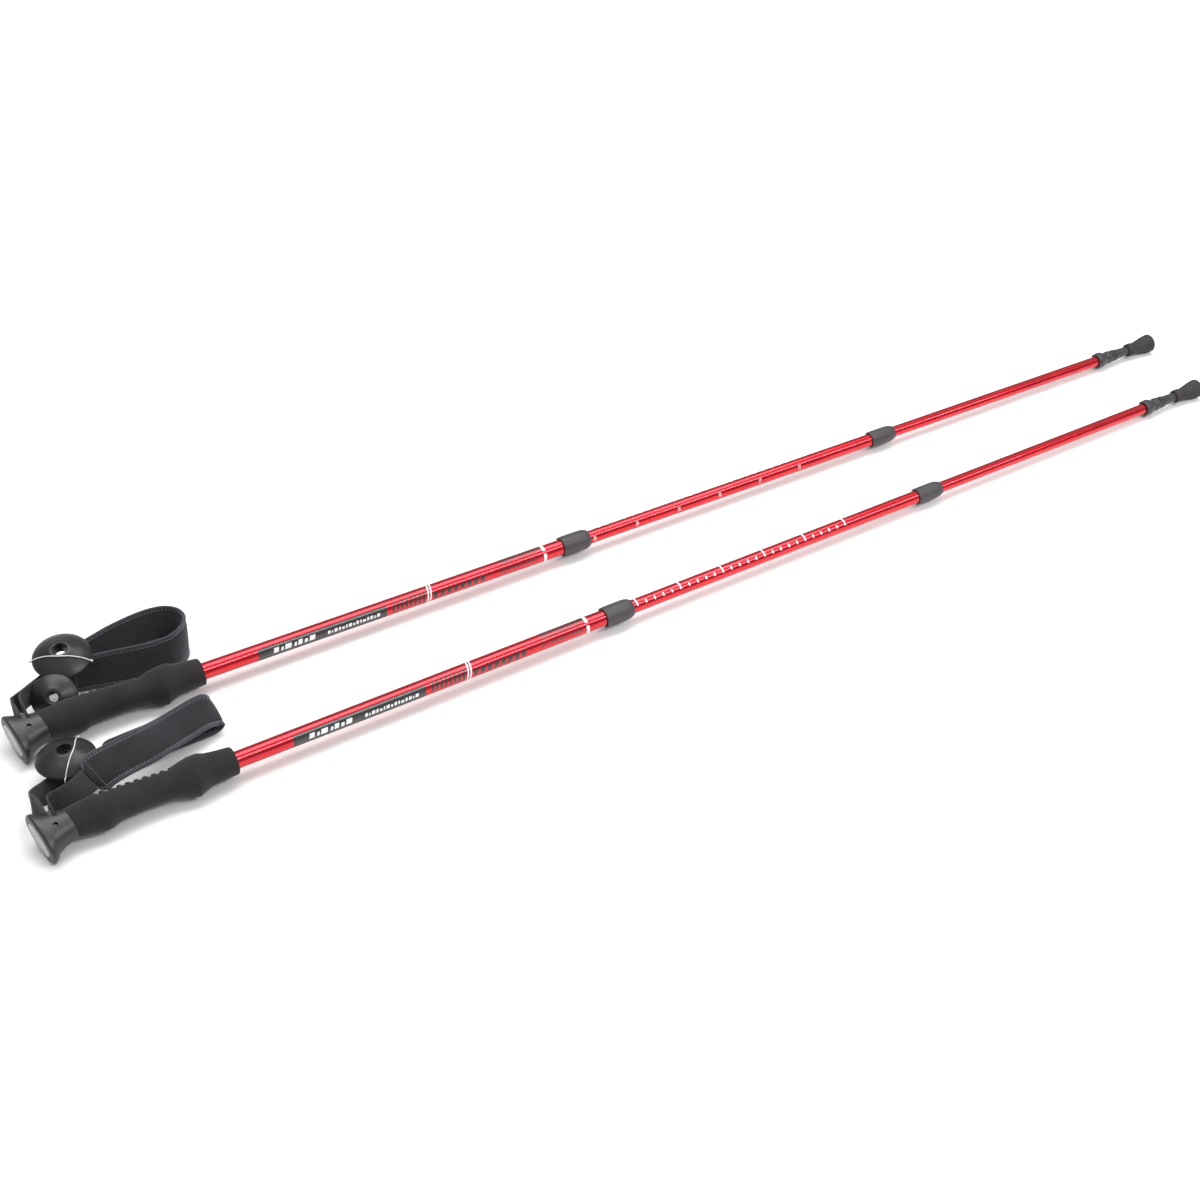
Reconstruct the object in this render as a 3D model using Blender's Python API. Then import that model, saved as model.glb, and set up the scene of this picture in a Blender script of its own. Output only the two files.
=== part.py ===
"""A pair of three-section, anti-shock trekking poles, extended and lying side by side.

Each pole is built in its own frame: +X from the handle's end to the tip, with the origin on the
tube axis at the handle's end face, +Z up.  An empty carries each pole into the world, where +X
runs towards the tips, +Z is up and the floor is z = 0.  The two poles lie slightly nose down,
each resting on its handle and on its rubber tip.
"""
import math

import bmesh
import bpy
from mathutils import Matrix, Vector

MM = 0.001

# ---- driving dimensions, in millimetres -------------------------------------------------------
SEGMENTS = 16                 # facets of a tube
SMALL_SEGMENTS = 12           # facets of a pin, a screw or a spring wire's path
WALL = 0.8                    # tube wall
UPPER_R, MIDDLE_R, LOWER_R = 8.0, 6.8, 5.8
GAP = 0.3                     # left between pieces that touch

HEAD_NECK_END = 72.0          # the handle head's sleeve, under the foam
HEAD_NECK_R = 9.8
FOAM_END = 178.0
STRAP_PIN_X = 14.0            # the pin that the wrist strap loops round
STRAP_PIN_R = 2.0
UPPER_TUBE_START, UPPER_TUBE_END = 21.0, 586.5
COLLAR_1_START, COLLAR_1_END = 560.2, 592.3
MIDDLE_TUBE_START, MIDDLE_TUBE_END = 505.0, 969.5
COLLAR_2_START, COLLAR_2_END = 943.2, 975.0
LOWER_TUBE_START, LOWER_TUBE_END = 905.0, 1277.0
ADAPTOR_START, ADAPTOR_END = 1264.6, 1322.0
RUBBER_START, RUBBER_END = 1311.0, 1346.0

SHOCK_TRAVEL = 10.0           # the anti-shock spring's stroke
SPRING_START, SPRING_END = 475.6, 502.4
SPRING_TURNS = 6.0
SPRING_R, SPRING_WIRE_R = 4.9, 0.65

WEBBING_WIDTH, WEBBING_THICK = 22.0, 1.6
PAD_WIDTH, PAD_THICK = 36.0, 4.4

BASKET_R, BASKET_HEIGHT, BASKET_HOLE_R = 27.0, 12.0, 6.8
SMALL_BASKET_R, SMALL_BASKET_HEIGHT, SMALL_BASKET_HOLE_R = 21.6, 9.5, 5.2
TAG_R = 0.6                   # nylon tag line

# ---- how the poles lie ------------------------------------------------------------------------
GRIP_ROLL = 28.0              # the strap side of the handle, degrees above the horizontal
AXIS_HEIGHT_HEAD, AXIS_HEIGHT_TIP = 19.78, 10.18
POLE_A_PLACE = (-658.345, 32.17)
POLE_B_OFFSET = (-24.9, -134.0)
POLE_B_YAW = 1.37
PITCH = math.atan2(AXIS_HEIGHT_HEAD - AXIS_HEIGHT_TIP, RUBBER_END)

RED = (0.62, 0.012, 0.022)
BLACK = (0.018, 0.018, 0.02)
DARK = (0.045, 0.043, 0.045)
PALE = (0.45, 0.46, 0.47)
STEEL = (0.55, 0.55, 0.56)
CLEAR = (0.85, 0.87, 0.88)

STRAP_SIDE = Vector((0.0, math.cos(math.radians(GRIP_ROLL)), math.sin(math.radians(GRIP_ROLL))))
SLOT_SIDE = Vector((0.0, -STRAP_SIDE.z, STRAP_SIDE.y))


# ---- helpers ----------------------------------------------------------------------------------
def clear_scene():
    for obj in list(bpy.data.objects):
        bpy.data.objects.remove(obj, do_unlink=True)


def material(name, colour, roughness, metallic=0.0):
    mat = bpy.data.materials.get(name)
    if mat is None:
        mat = bpy.data.materials.new(name)
        mat.use_nodes = True
        shader = mat.node_tree.nodes["Principled BSDF"]
        shader.inputs["Base Color"].default_value = (*colour, 1.0)
        shader.inputs["Roughness"].default_value = roughness
        shader.inputs["Metallic"].default_value = metallic
        mat.diffuse_color = (*colour, 1.0)
    return mat


def add_object(name, bm, mat, parent, place=None):
    """Finish a bmesh given in millimetres as a closed, smooth-shaded object in metres."""
    bmesh.ops.scale(bm, vec=(MM, MM, MM), verts=bm.verts)
    bmesh.ops.recalc_face_normals(bm, faces=bm.faces)
    mesh = bpy.data.meshes.new(name)
    bm.to_mesh(mesh)
    bm.free()
    mesh.shade_smooth()
    mesh.set_sharp_from_angle(angle=math.radians(35))
    mesh.materials.append(mat)
    obj = bpy.data.objects.new(name, mesh)
    bpy.context.scene.collection.objects.link(obj)
    obj.parent = parent
    if place is not None:
        obj.matrix_basis = place
    return obj


def skin_rings(rings, closed):
    """Join rings of points, end to end; closed joins the last ring to the first as well."""
    bm = bmesh.new()
    loops = [[bm.verts.new(point) for point in ring] for ring in rings]
    pairs = list(zip(loops, loops[1:]))
    if closed:
        pairs.append((loops[-1], loops[0]))
    for first, second in pairs:
        count = len(first)
        for i in range(count):
            j = (i + 1) % count
            bm.faces.new((first[i], first[j], second[j], second[i]))
    if not closed:
        bm.faces.new(loops[0])
        bm.faces.new(list(reversed(loops[-1])))
    return bm


def ring(x, radius, segments):
    step = 2 * math.pi / segments
    return [(x, radius * math.cos(i * step), radius * math.sin(i * step)) for i in range(segments)]


def turned(profile, segments=SEGMENTS, bored=True):
    """Turn a profile of (x, radius) about the X axis; a bored one is a closed outline."""
    return skin_rings([ring(x, radius, segments) for x, radius in profile], bored)


def oval(x, beak, strap, half_width, shear, segments, square=2.3):
    """A handle section: from -beak to +strap along Y, with its X slanting by shear along Y."""
    points = []
    middle, reach = (strap - beak) / 2, (strap + beak) / 2
    for i in range(segments):
        angle = 2 * math.pi * i / segments
        c, s = math.cos(angle), math.sin(angle)
        y = middle + reach * math.copysign(abs(c) ** (2 / square), c)
        z = half_width * math.copysign(abs(s) ** (2 / square), s)
        points.append((x + shear * y, y, z))
    return points


def spline(points, steps):
    """A smooth curve through the points (Catmull-Rom), with steps points on each stretch."""
    ends = [points[0] * 2 - points[1]] + list(points) + [points[-1] * 2 - points[-2]]
    curve = []
    for k in range(1, len(ends) - 2):
        a, b, c, d = ends[k - 1:k + 3]
        for i in range(steps):
            t = i / steps
            curve.append(0.5 * (2 * b + (c - a) * t + (2 * a - 5 * b + 4 * c - d) * t ** 2
                                + (3 * b - a - 3 * c + d) * t ** 3))
    curve.append(points[-1].copy())
    return curve


def band(stations, width_at, thickness, steps):
    """A flat band through stations of (point, outward normal); width_at gives its width."""
    places = spline([Vector(place) for place, _ in stations], steps)
    outward = spline([Vector(normal) for _, normal in stations], steps)
    length = [0.0]
    for a, b in zip(places, places[1:]):
        length.append(length[-1] + (b - a).length)
    rings = []
    for i, place in enumerate(places):
        ahead = places[min(i + 1, len(places) - 1)] - places[max(i - 1, 0)]
        across = ahead.cross(outward[i]).normalized()
        normal = across.cross(ahead).normalized()
        half = across * width_at(length[i], length[-1]) / 2
        lift = normal * thickness / 2
        rings.append([place + half + lift, place - half + lift, place - half - lift,
                      place + half - lift])
    return skin_rings(rings, False)


def cut(obj, cutter):
    """Cut obj by a cutter object, which then stays as a hidden guide."""
    cutter.hide_render = True
    cutter.display_type = "WIRE"
    modifier = obj.modifiers.new("cut", "BOOLEAN")
    modifier.operation = "DIFFERENCE"
    modifier.object = cutter


def box_cutter(name, low, high, parent):
    bm = bmesh.new()
    bmesh.ops.create_cube(bm, size=1.0)
    size = Vector(high) - Vector(low)
    middle = (Vector(high) + Vector(low)) / 2
    for vert in bm.verts:
        vert.co = Vector((vert.co.x * size.x, vert.co.y * size.y, vert.co.z * size.z)) + middle
    return add_object(name, bm, material("guide", PALE, 0.5), parent)


def empty(name, matrix, parent=None):
    obj = bpy.data.objects.new(name, None)
    bpy.context.scene.collection.objects.link(obj)
    obj.parent = parent
    obj.matrix_basis = matrix
    return obj


# ---- handle -----------------------------------------------------------------------------------
# Sections of the handle's head: x, beak side, strap side, half width, slant
HEAD_SECTIONS = [
    (-1.6, 25.4, 19.2, 13.9, -0.13),
    (0.2, 27.0, 20.7, 15.3, -0.13),
    (3.2, 25.4, 20.2, 15.2, -0.13),
    (8.0, 20.2, 18.4, 14.3, -0.14),
    (14.0, 16.8, 16.8, 13.4, -0.15),
    (21.0, 14.3, 15.4, 12.6, -0.17),
    (27.4, 12.3, 14.6, 12.1, -0.19),
]
CAP_BEAK, CAP_STRAP, CAP_HALF_WIDTH, CAP_DEPTH = 19.5, 13.6, 9.2, 2.2


def grip_head(tag, frame):
    """The moulded head: a flared, beaked end, a slot for the strap, and a sleeve for the tube."""
    count = SEGMENTS
    outer = [oval(*section, count) for section in HEAD_SECTIONS]
    x_face, slant = HEAD_SECTIONS[0][0], HEAD_SECTIONS[0][4]
    shoulder = HEAD_SECTIONS[-1]
    outer.append(oval(shoulder[0], HEAD_NECK_R, HEAD_NECK_R, HEAD_NECK_R, shoulder[4], count, 2.0))
    outer.append(ring(HEAD_NECK_END, HEAD_NECK_R, count))
    bore = [ring(HEAD_NECK_END, UPPER_R + GAP, count), ring(UPPER_TUBE_START - GAP, UPPER_R + GAP, count)]
    blind = [ring(UPPER_TUBE_START - GAP, 4.0, count)]
    recess = [oval(x_face + CAP_DEPTH, CAP_BEAK - 1.5, CAP_STRAP - 1.5, CAP_HALF_WIDTH - 1.5, slant, count),
              oval(x_face + CAP_DEPTH, CAP_BEAK + GAP, CAP_STRAP + GAP, CAP_HALF_WIDTH + GAP, slant, count),
              oval(x_face, CAP_BEAK + GAP, CAP_STRAP + GAP, CAP_HALF_WIDTH + GAP, slant, count)]
    bm = skin_rings(list(reversed(blind)) + list(reversed(bore)) + list(reversed(outer))
                    + list(reversed(recess)), False)
    head = add_object("grip_head_" + tag, bm, material("grip_plastic", BLACK, 0.42), frame)
    half = STRAP_PIN_R + WEBBING_THICK + 2 * GAP + 0.2
    slot = box_cutter("slot_guide_" + tag, (STRAP_PIN_X - half, -half - 0.4, -WEBBING_WIDTH / 2 - 0.8),
                      (STRAP_PIN_X + half, 30.0, WEBBING_WIDTH / 2 + 0.8), frame)
    cut(head, slot)
    hole = turned([(-20.0, STRAP_PIN_R + 0.15), (20.0, STRAP_PIN_R + 0.15)], SMALL_SEGMENTS, False)
    turn = Matrix.Translation((STRAP_PIN_X * MM, 0, 0)) @ Matrix.Rotation(math.pi / 2, 4, "Y")
    cut(head, add_object("pin_hole_guide_" + tag, hole, material("guide", PALE, 0.5), frame, turn))


def head_cap(tag, frame):
    """The pale oval insert in the head's end face."""
    x_face, slant = HEAD_SECTIONS[0][0], HEAD_SECTIONS[0][4]
    rings = [oval(x_face + CAP_DEPTH - GAP, CAP_BEAK - 0.4, CAP_STRAP - 0.4, CAP_HALF_WIDTH - 0.4,
                  slant, SEGMENTS),
             oval(x_face + 0.1, CAP_BEAK, CAP_STRAP, CAP_HALF_WIDTH, slant, SEGMENTS),
             oval(x_face - 0.7, CAP_BEAK - 1.4, CAP_STRAP - 1.4, CAP_HALF_WIDTH - 1.4, slant, SEGMENTS)]
    bm = skin_rings(rings, False)
    add_object("head_cap_" + tag, bm, material("cap_plastic", PALE, 0.45), frame)


def strap_pin(tag, frame):
    reach = 12.6
    bm = turned([(-reach, STRAP_PIN_R), (reach, STRAP_PIN_R)], SMALL_SEGMENTS, False)
    turn = Matrix.Translation((STRAP_PIN_X * MM, 0, 0)) @ Matrix.Rotation(math.pi / 2, 4, "Y")
    add_object("strap_pin_" + tag, bm, material("steel", STEEL, 0.35, 1.0), frame, turn)


def strap_wedge(tag, frame):
    """The wedge that jams the strap's two runs apart in the slot."""
    low, high, reach = 3.2, 15.2, 9.0
    thick_in, thick_out = 1.55, 1.75
    bm = bmesh.new()
    corners = [[(STRAP_PIN_X - t, y, z), (STRAP_PIN_X + t, y, z)]
               for y, t in ((low, thick_in), (high, thick_out)) for z in (-reach, reach)]
    (a, b), (c, d), (e, f), (g, h) = [[bm.verts.new(point) for point in pair] for pair in corners]
    for face in ((a, b, d, c), (e, f, h, g), (a, b, f, e), (c, d, h, g), (a, c, g, e), (b, d, h, f)):
        bm.faces.new(face)
    add_object("strap_wedge_" + tag, bm, material("grip_plastic", BLACK, 0.42), frame)


# Sections of the foam: x, beak side, strap side, half width, slant
FOAM_SECTIONS = [
    (27.8, 12.2, 14.4, 12.0, -0.19),
    (37.0, 13.6, 15.8, 13.3, -0.10),
    (56.0, 16.4, 17.7, 15.2, 0.0),
    (60.0, 16.0, 17.7, 15.2, 0.0),
    (71.0, 12.6, 17.2, 14.3, 0.0),
    (96.0, 11.3, 15.9, 13.3, 0.0),
    (121.0, 12.2, 14.7, 13.4, 0.0),
    (131.0, 15.8, 16.8, 15.6, 0.0),
    (139.0, 18.4, 18.2, 17.4, 0.0),
    (147.0, 15.4, 18.4, 16.6, 0.0),
    (155.0, 13.2, 16.0, 14.4, 0.0),
    (176.5, 12.4, 13.4, 12.7, 0.0),
    (FOAM_END, 11.5, 12.4, 11.9, 0.0),
]


def foam_grip(tag, frame):
    """The foam sleeve: swollen at both ends of the palm, and stepped where it clears the head."""
    count = SEGMENTS
    outer = [oval(*section, count, 2.0) for section in FOAM_SECTIONS]
    first = FOAM_SECTIONS[0]
    mouth = [oval(first[0], HEAD_NECK_R + GAP, HEAD_NECK_R + GAP, HEAD_NECK_R + GAP, first[4], count, 2.0)]
    inner = [ring(HEAD_NECK_END + GAP, HEAD_NECK_R + GAP, count), ring(HEAD_NECK_END + GAP, UPPER_R + GAP, count),
             ring(FOAM_END, UPPER_R + GAP, count)]
    bm = skin_rings(outer + list(reversed(mouth + inner)), True)
    add_object("foam_grip_" + tag, bm, material("foam", DARK, 0.9), frame)


# ---- wrist strap ------------------------------------------------------------------------------
def strap_slot_stations():
    """The webbing inside the head: in on the cap's side, round the pin, out on the foam's side."""
    turn = STRAP_PIN_R + GAP + WEBBING_THICK / 2
    stations = []
    for depth in (18.5, 9.0, 1.0):
        stations.append((Vector((STRAP_PIN_X - turn, 0, 0)) + STRAP_SIDE * depth, Vector((-1, 0, 0))))
    for angle in (45, 90, 135):
        c, s = math.cos(math.radians(angle)), math.sin(math.radians(angle))
        normal = Vector((-c, 0, 0)) - STRAP_SIDE * s
        stations.append((Vector((STRAP_PIN_X, 0, 0)) + normal * turn, normal))
    for depth in (1.0, 9.0, 18.5):
        stations.append((Vector((STRAP_PIN_X + turn, 0, 0)) + STRAP_SIDE * depth, Vector((1, 0, 0))))
    return stations


# Pole A's strap stands open on its edge behind the handle; pole B's lies folded over, flat.
# Each station is a point in the pole's frame and the band's outward normal.
STRAPS = {
    "a": {
        "far_tail": [((84.0, 74.0, -0.4), (-0.4, 0.9, 0)), ((66.0, 66.6, -0.6), (-0.5, 0.9, 0)),
                     ((45.0, 57.4, -0.5), (-0.5, 0.9, 0)), ((27.0, 46.5, 0.5), (-0.7, 0.7, 0)),
                     ((14.5, 36.0, 3.0), (-1, 0.4, 0)), ((10.6, 26.0, 7.5), (-1, 0, 0))],
        "near_tail": [((17.8, 26.0, 8.0), (1, -0.1, 0)), ((22.5, 37.5, 5.0), (0.8, -0.6, 0)),
                      ((35.0, 49.4, 0.6), (0.5, -0.8, 0)), ((52.0, 53.6, -0.4), (0.2, -1, 0)),
                      ((68.4, 54.4, -0.6), (0, -1, 0))],
        "pad": [((70.6, 54.4, -0.4), (0, -1, 0)), ((90.0, 52.4, -0.4), (-0.1, -1, 0.14)),
                ((111.0, 47.8, -0.4), (-0.1, -1, 0.26)), ((130.0, 43.6, -0.4), (-0.1, -1, 0.28)),
                ((150.0, 40.4, -0.4), (0, -1, 0.28)), ((168.0, 42.0, -0.4), (0.3, -1, 0.24)),
                ((181.0, 49.8, -0.3), (0.6, -0.8, 0.12)), ((187.8, 60.0, -0.2), (0.9, -0.4, 0)),
                ((189.4, 69.6, 0.2), (1, 0.1, -0.1)), ((185.0, 79.4, 0.8), (0.8, 0.6, -0.2)),
                ((174.0, 86.0, 1.0), (0.3, 1, -0.3)), ((155.0, 87.8, 0.6), (0, 1, -0.3)),
                ((127.0, 84.8, 0.0), (-0.1, 1, -0.2)), ((104.0, 80.0, -0.3), (-0.2, 1, -0.05)),
                ((86.0, 74.8, -0.2), (-0.3, 1, 0))],
    },
    "b": {
        "far_tail": [((86.6, 71.6, -9.2), (0, 0.36, -0.9)), ((66.0, 68.0, -9.8), (-0.1, 0.5, -0.8)),
                     ((44.0, 63.5, -9.6), (-0.2, 0.8, -0.6)), ((26.0, 57.0, -7.0), (-0.4, 0.9, -0.3)),
                     ((12.5, 47.0, -1.5), (-0.9, 0.5, 0)), ((8.6, 36.0, 4.0), (-1, 0.1, 0)),
                     ((10.2, 26.0, 8.0), (-1, 0, 0))],
        "near_tail": [((18.6, 21.0, 9.2), (0.9, -0.6, 0.1)), ((23.6, 22.6, 9.4), (0.45, -0.95, 0.2)),
                      ((31.0, 22.6, 9.8), (0, -1, 0.3)), ((44.0, 24.4, 11.2), (0, -0.9, 0.45)),
                      ((57.2, 29.2, 13.2), (0, -0.8, 0.6))],
        "pad": [((59.0, 30.1, 13.5), (0, -0.8, 0.6)), ((72.0, 35.2, 14.8), (0, -0.6, 0.8)),
                ((88.0, 39.8, 14.0), (0, -0.46, 0.9)),
                ((119.0, 48.0, 11.5), (0, -0.42, 0.9)), ((151.0, 63.0, 4.5), (0, -0.34, 0.94)),
                ((175.0, 71.0, 3.0), (0.1, -0.3, 0.94)), ((188.5, 74.5, 0.6), (0.5, -0.3, 0.8)),
                ((194.5, 75.6, -3.6), (0.95, -0.1, 0.2)), ((193.5, 76.0, -7.6), (0.8, 0.1, -0.6)),
                ((185.0, 76.0, -10.0), (0.2, 0.25, -0.9)), ((165.0, 75.6, -9.8), (0, 0.3, -0.9)),
                ((143.0, 74.8, -9.4), (0, 0.33, -0.9)), ((112.0, 73.2, -9.2), (0, 0.36, -0.9)),
                ((88.6, 71.8, -9.2), (0, 0.36, -0.9))],
    },
}


def strap_webbing(tag, frame):
    """The ribbed webbing: from the pad's far end, round the pin in the head, to its near end."""
    route = STRAPS[tag]
    stations = route["far_tail"] + strap_slot_stations() + route["near_tail"]
    bm = band(stations, lambda at, total: WEBBING_WIDTH, WEBBING_THICK, 2)
    add_object("strap_webbing_" + tag, bm, material("webbing", DARK, 0.85), frame)


def pad_width(at, total):
    """Full width, with rounded ends."""
    reach = min(at, total - at)
    corner = 9.0
    if reach >= corner:
        return PAD_WIDTH
    return PAD_WIDTH - 2 * corner + 2 * math.sqrt(corner ** 2 - (corner - reach) ** 2)


def strap_pad(tag, frame):
    """The padded wrist band."""
    bm = band(STRAPS[tag]["pad"], pad_width, PAD_THICK, 3)
    add_object("strap_pad_" + tag, bm, material("pad_fabric", BLACK, 0.9), frame)


# ---- tubes and collars ------------------------------------------------------------------------
def tube(name, start, end, radius, frame, colour=RED):
    profile = [(start, radius - WALL), (end, radius - WALL), (end, radius), (start, radius)]
    add_object(name, turned(profile), material("red_tube", colour, 0.28, 0.9), frame)


def collar(name, start, end, tube_radius, tube_end, inner_radius, outer_radius, frame):
    """The plastic collar on a tube's end, which guides the next tube."""
    bore = tube_radius + GAP
    profile = [(start, bore), (start, outer_radius - 0.5), (start + 0.6, outer_radius), (start + 12, outer_radius + 0.1),
               (end - 8, outer_radius - 0.4), (end - 3.4, outer_radius - 1.1), (end - 1.0, outer_radius - 2.2),
               (end, outer_radius - 3.4 if outer_radius - 3.4 > inner_radius + 0.5 else inner_radius + 0.5),
               (end, inner_radius), (tube_end + GAP, inner_radius), (tube_end + GAP, bore)]
    add_object(name, turned(profile), material("collar_plastic", DARK, 0.5), frame)


# ---- twist locks ------------------------------------------------------------------------------
def expander(name, start, end, outer, bore_wide, bore_narrow, rod_radius, frame):
    """A slit sleeve: its fingers are pressed outwards by the cone, and join at the far end."""
    floor = end - 2.4
    profile = [(start, bore_wide), (floor - 1.0, bore_narrow), (floor, rod_radius + GAP + 0.1),
               (end, rod_radius + GAP + 0.1), (end, outer - 0.4), (start + 0.8, outer), (start, outer - 0.5)]
    obj = add_object(name, turned(profile), material("nylon", DARK, 0.55), frame)
    for k, (reach_y, reach_z) in enumerate(((20.0, 0.45), (0.45, 20.0))):
        cut(obj, box_cutter(f"{name}_slit_guide_{k}", (start - 2, -reach_y, -reach_z),
                            (floor - 4.0, reach_y, reach_z), frame))


def cone(name, start, end, wide, narrow, rod_radius, frame):
    """The threaded cone that spreads the expander."""
    bore = rod_radius + 0.25
    profile = [(start, bore), (end, bore), (end, narrow), (start + 1.0, wide), (start, wide - 0.5)]
    add_object(name, turned(profile, SMALL_SEGMENTS), material("cone_plastic", PALE, 0.5), frame)


def upper_lock(tag, frame):
    """The upper twist lock, carried by the anti-shock plunger."""
    rod = 2.3
    expander("upper_expander_" + tag, 442.0, 469.5, 6.95, 5.9, 3.7, rod, frame)
    cone("upper_cone_" + tag, 445.6, 457.0, 5.0, 3.9, rod, frame)
    profile = [(440.0, rod - 0.6), (440.8, rod), (470.2, rod), (470.2, 6.1), (475.2, 6.1),
               (475.2, rod), (533.4, rod), (533.4, 4.6), (537.4, 4.6)]
    bm = turned(profile, SMALL_SEGMENTS, False)
    add_object("shock_plunger_" + tag, bm, material("steel", STEEL, 0.35, 1.0), frame)
    bore = rod + 0.4
    profile = [(502.8, bore), (502.8, 6.4), (504.7, 6.4), (504.7, 5.6), (532.6, 5.6), (532.6, bore)]
    add_object("middle_plug_" + tag, turned(profile), material("nylon", DARK, 0.55), frame)


def shock_spring(tag, frame):
    """The coil spring between the plunger's shoulder and the middle tube's plug."""
    per_turn, wire_sides = 8, 5
    total = int(SPRING_TURNS * per_turn)
    rise = (SPRING_END - SPRING_START - 2 * SPRING_WIRE_R) / total
    rings = []
    for i in range(total + 1):
        angle = 2 * math.pi * i / per_turn
        out = Vector((0, math.cos(angle), math.sin(angle)))
        along = Vector((1, 0, 0))
        centre = out * SPRING_R + along * (SPRING_START + SPRING_WIRE_R + rise * i)
        rings.append([centre + (out * math.cos(a) + along * math.sin(a)) * SPRING_WIRE_R
                      for a in (2 * math.pi * k / wire_sides for k in range(wire_sides))])
    add_object("shock_spring_" + tag, skin_rings(rings, False), material("steel", STEEL, 0.35, 1.0), frame)


def lower_lock(tag, frame):
    """The lower twist lock, on a screw fixed in the lower tube's plug."""
    rod = 1.9
    expander("lower_expander_" + tag, 874.0, 899.5, 5.75, 4.8, 3.1, rod, frame)
    cone("lower_cone_" + tag, 877.6, 887.6, 4.1, 3.2, rod, frame)
    bm = turned([(872.0, rod - 0.5), (872.8, rod), (918.0, rod)], SMALL_SEGMENTS, False)
    add_object("lock_screw_" + tag, bm, material("steel", STEEL, 0.35, 1.0), frame)
    bore = rod + 0.2
    profile = [(900.2, bore), (900.2, 5.4), (904.7, 5.4), (904.7, 4.65), (924.0, 4.65), (924.0, bore)]
    add_object("lower_plug_" + tag, turned(profile), material("nylon", DARK, 0.55), frame)


# ---- tip --------------------------------------------------------------------------------------
def tip_adaptor(tag, frame):
    """The plastic tip: a flared mouth on the tube, the basket's thread, and a tapering nose."""
    profile = [(ADAPTOR_START, LOWER_R + GAP), (ADAPTOR_START, 7.5), (ADAPTOR_START + 1.2, 8.0),
               (1270.5, 7.9), (1276.0, 6.9), (1280.0, 6.5), (1281.0, 6.9), (1283.0, 6.9), (1284.0, 6.1),
               (1291.0, 5.8), (1303.0, 5.1), (ADAPTOR_END, 4.4), (ADAPTOR_END, 2.3), (1312.0, 2.3),
               (1312.0, 1.2), (1280.0, 1.2), (LOWER_TUBE_END + GAP, 2.6), (LOWER_TUBE_END + GAP, LOWER_R + GAP)]
    add_object("tip_adaptor_" + tag, turned(profile), material("tip_plastic", BLACK, 0.4), frame)


def steel_tip(tag, frame):
    """The hard tip: a shank in the adaptor and a fluted point, hidden in the rubber cap."""
    profile = [(1312.4, 2.0), (1322.4, 2.0), (1322.4, 3.0), (1327.0, 2.8), (1330.0, 1.9), (1329.2, 0.6)]
    add_object("steel_tip_" + tag, turned(profile, SMALL_SEGMENTS, False), material("steel", STEEL, 0.35, 1.0), frame)


def rubber_tip(tag, frame):
    """The flared rubber cap over the tip, with a flat foot."""
    profile = [(RUBBER_START, 5.3), (RUBBER_START, 6.4), (RUBBER_START + 1.0, 7.0), (RUBBER_START + 7.0, 7.1),
               (RUBBER_START + 8.2, 6.4), (1325.0, 7.0), (1334.0, 8.7), (1339.0, 9.9), (1342.5, 10.2),
               (1345.0, 9.6), (RUBBER_END, 8.4), (RUBBER_END, 2.6), (RUBBER_END - 1.4, 2.2),
               (RUBBER_END - 1.4, 0.9), (1331.5, 0.9), (1331.5, 3.4), (1322.6, 3.4), (1322.6, 4.75)]
    add_object("rubber_tip_" + tag, turned(profile), material("rubber", BLACK, 0.7), frame)


# ---- mud baskets ------------------------------------------------------------------------------
def basket(name, centre, normal, radius, height, hole, frame):
    """A domed mud basket with a threaded hub; its X axis is the dome's axis."""
    hub = hole + 2.2
    outer = [(0.0, radius), (0.16 * height, 0.965 * radius), (0.5 * height, 0.76 * radius),
             (0.78 * height, 0.53 * radius), (height, hub + 0.6), (height, hole)]
    inner = [(1.0, hole), (1.0, hub), (0.62 * height, hub), (0.34 * height, 0.72 * radius),
             (0.12 * height, 0.885 * radius), (0.0, radius - 1.3)]
    profile = outer + inner
    turn = Vector(normal).to_track_quat("X", "Y").to_matrix().to_4x4()
    place = Matrix.Translation(Vector(centre) * MM) @ turn
    add_object(name, turned(profile, 20), material("basket_plastic", BLACK, 0.35), frame, place)


BASKETS = {
    "mud_basket_a": ("a", (70.2, 61.8, 19.85), (-0.12, -0.2, 0.97), BASKET_R, BASKET_HEIGHT, BASKET_HOLE_R),
    "small_basket_a": ("a", (49.6, 31.4, 2.4), (-0.34, -0.72, 0.6), SMALL_BASKET_R, SMALL_BASKET_HEIGHT,
                       SMALL_BASKET_HOLE_R),
    "mud_basket_b": ("b", (54.0, 73.4, 6.8), (-0.05, 0.0, 1.0), BASKET_R, BASKET_HEIGHT, BASKET_HOLE_R),
}


TAG_TURNS = {"mud_basket_a": 91.0, "mud_basket_b": -124.0}   # degrees round each basket's axis


def dome_height(distance, radius, height, hub):
    """The height of a basket's outer face at a distance from its axis."""
    knots = [(hub + 0.6, height), (0.53 * radius, 0.78 * height), (0.76 * radius, 0.5 * height),
             (0.965 * radius, 0.16 * height), (radius, 0.0)]
    for (near, top), (far, low) in zip(knots, knots[1:]):
        if distance < far:
            return top + (low - top) * max(0.0, (distance - near) / (far - near))
    return 0.0


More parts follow.
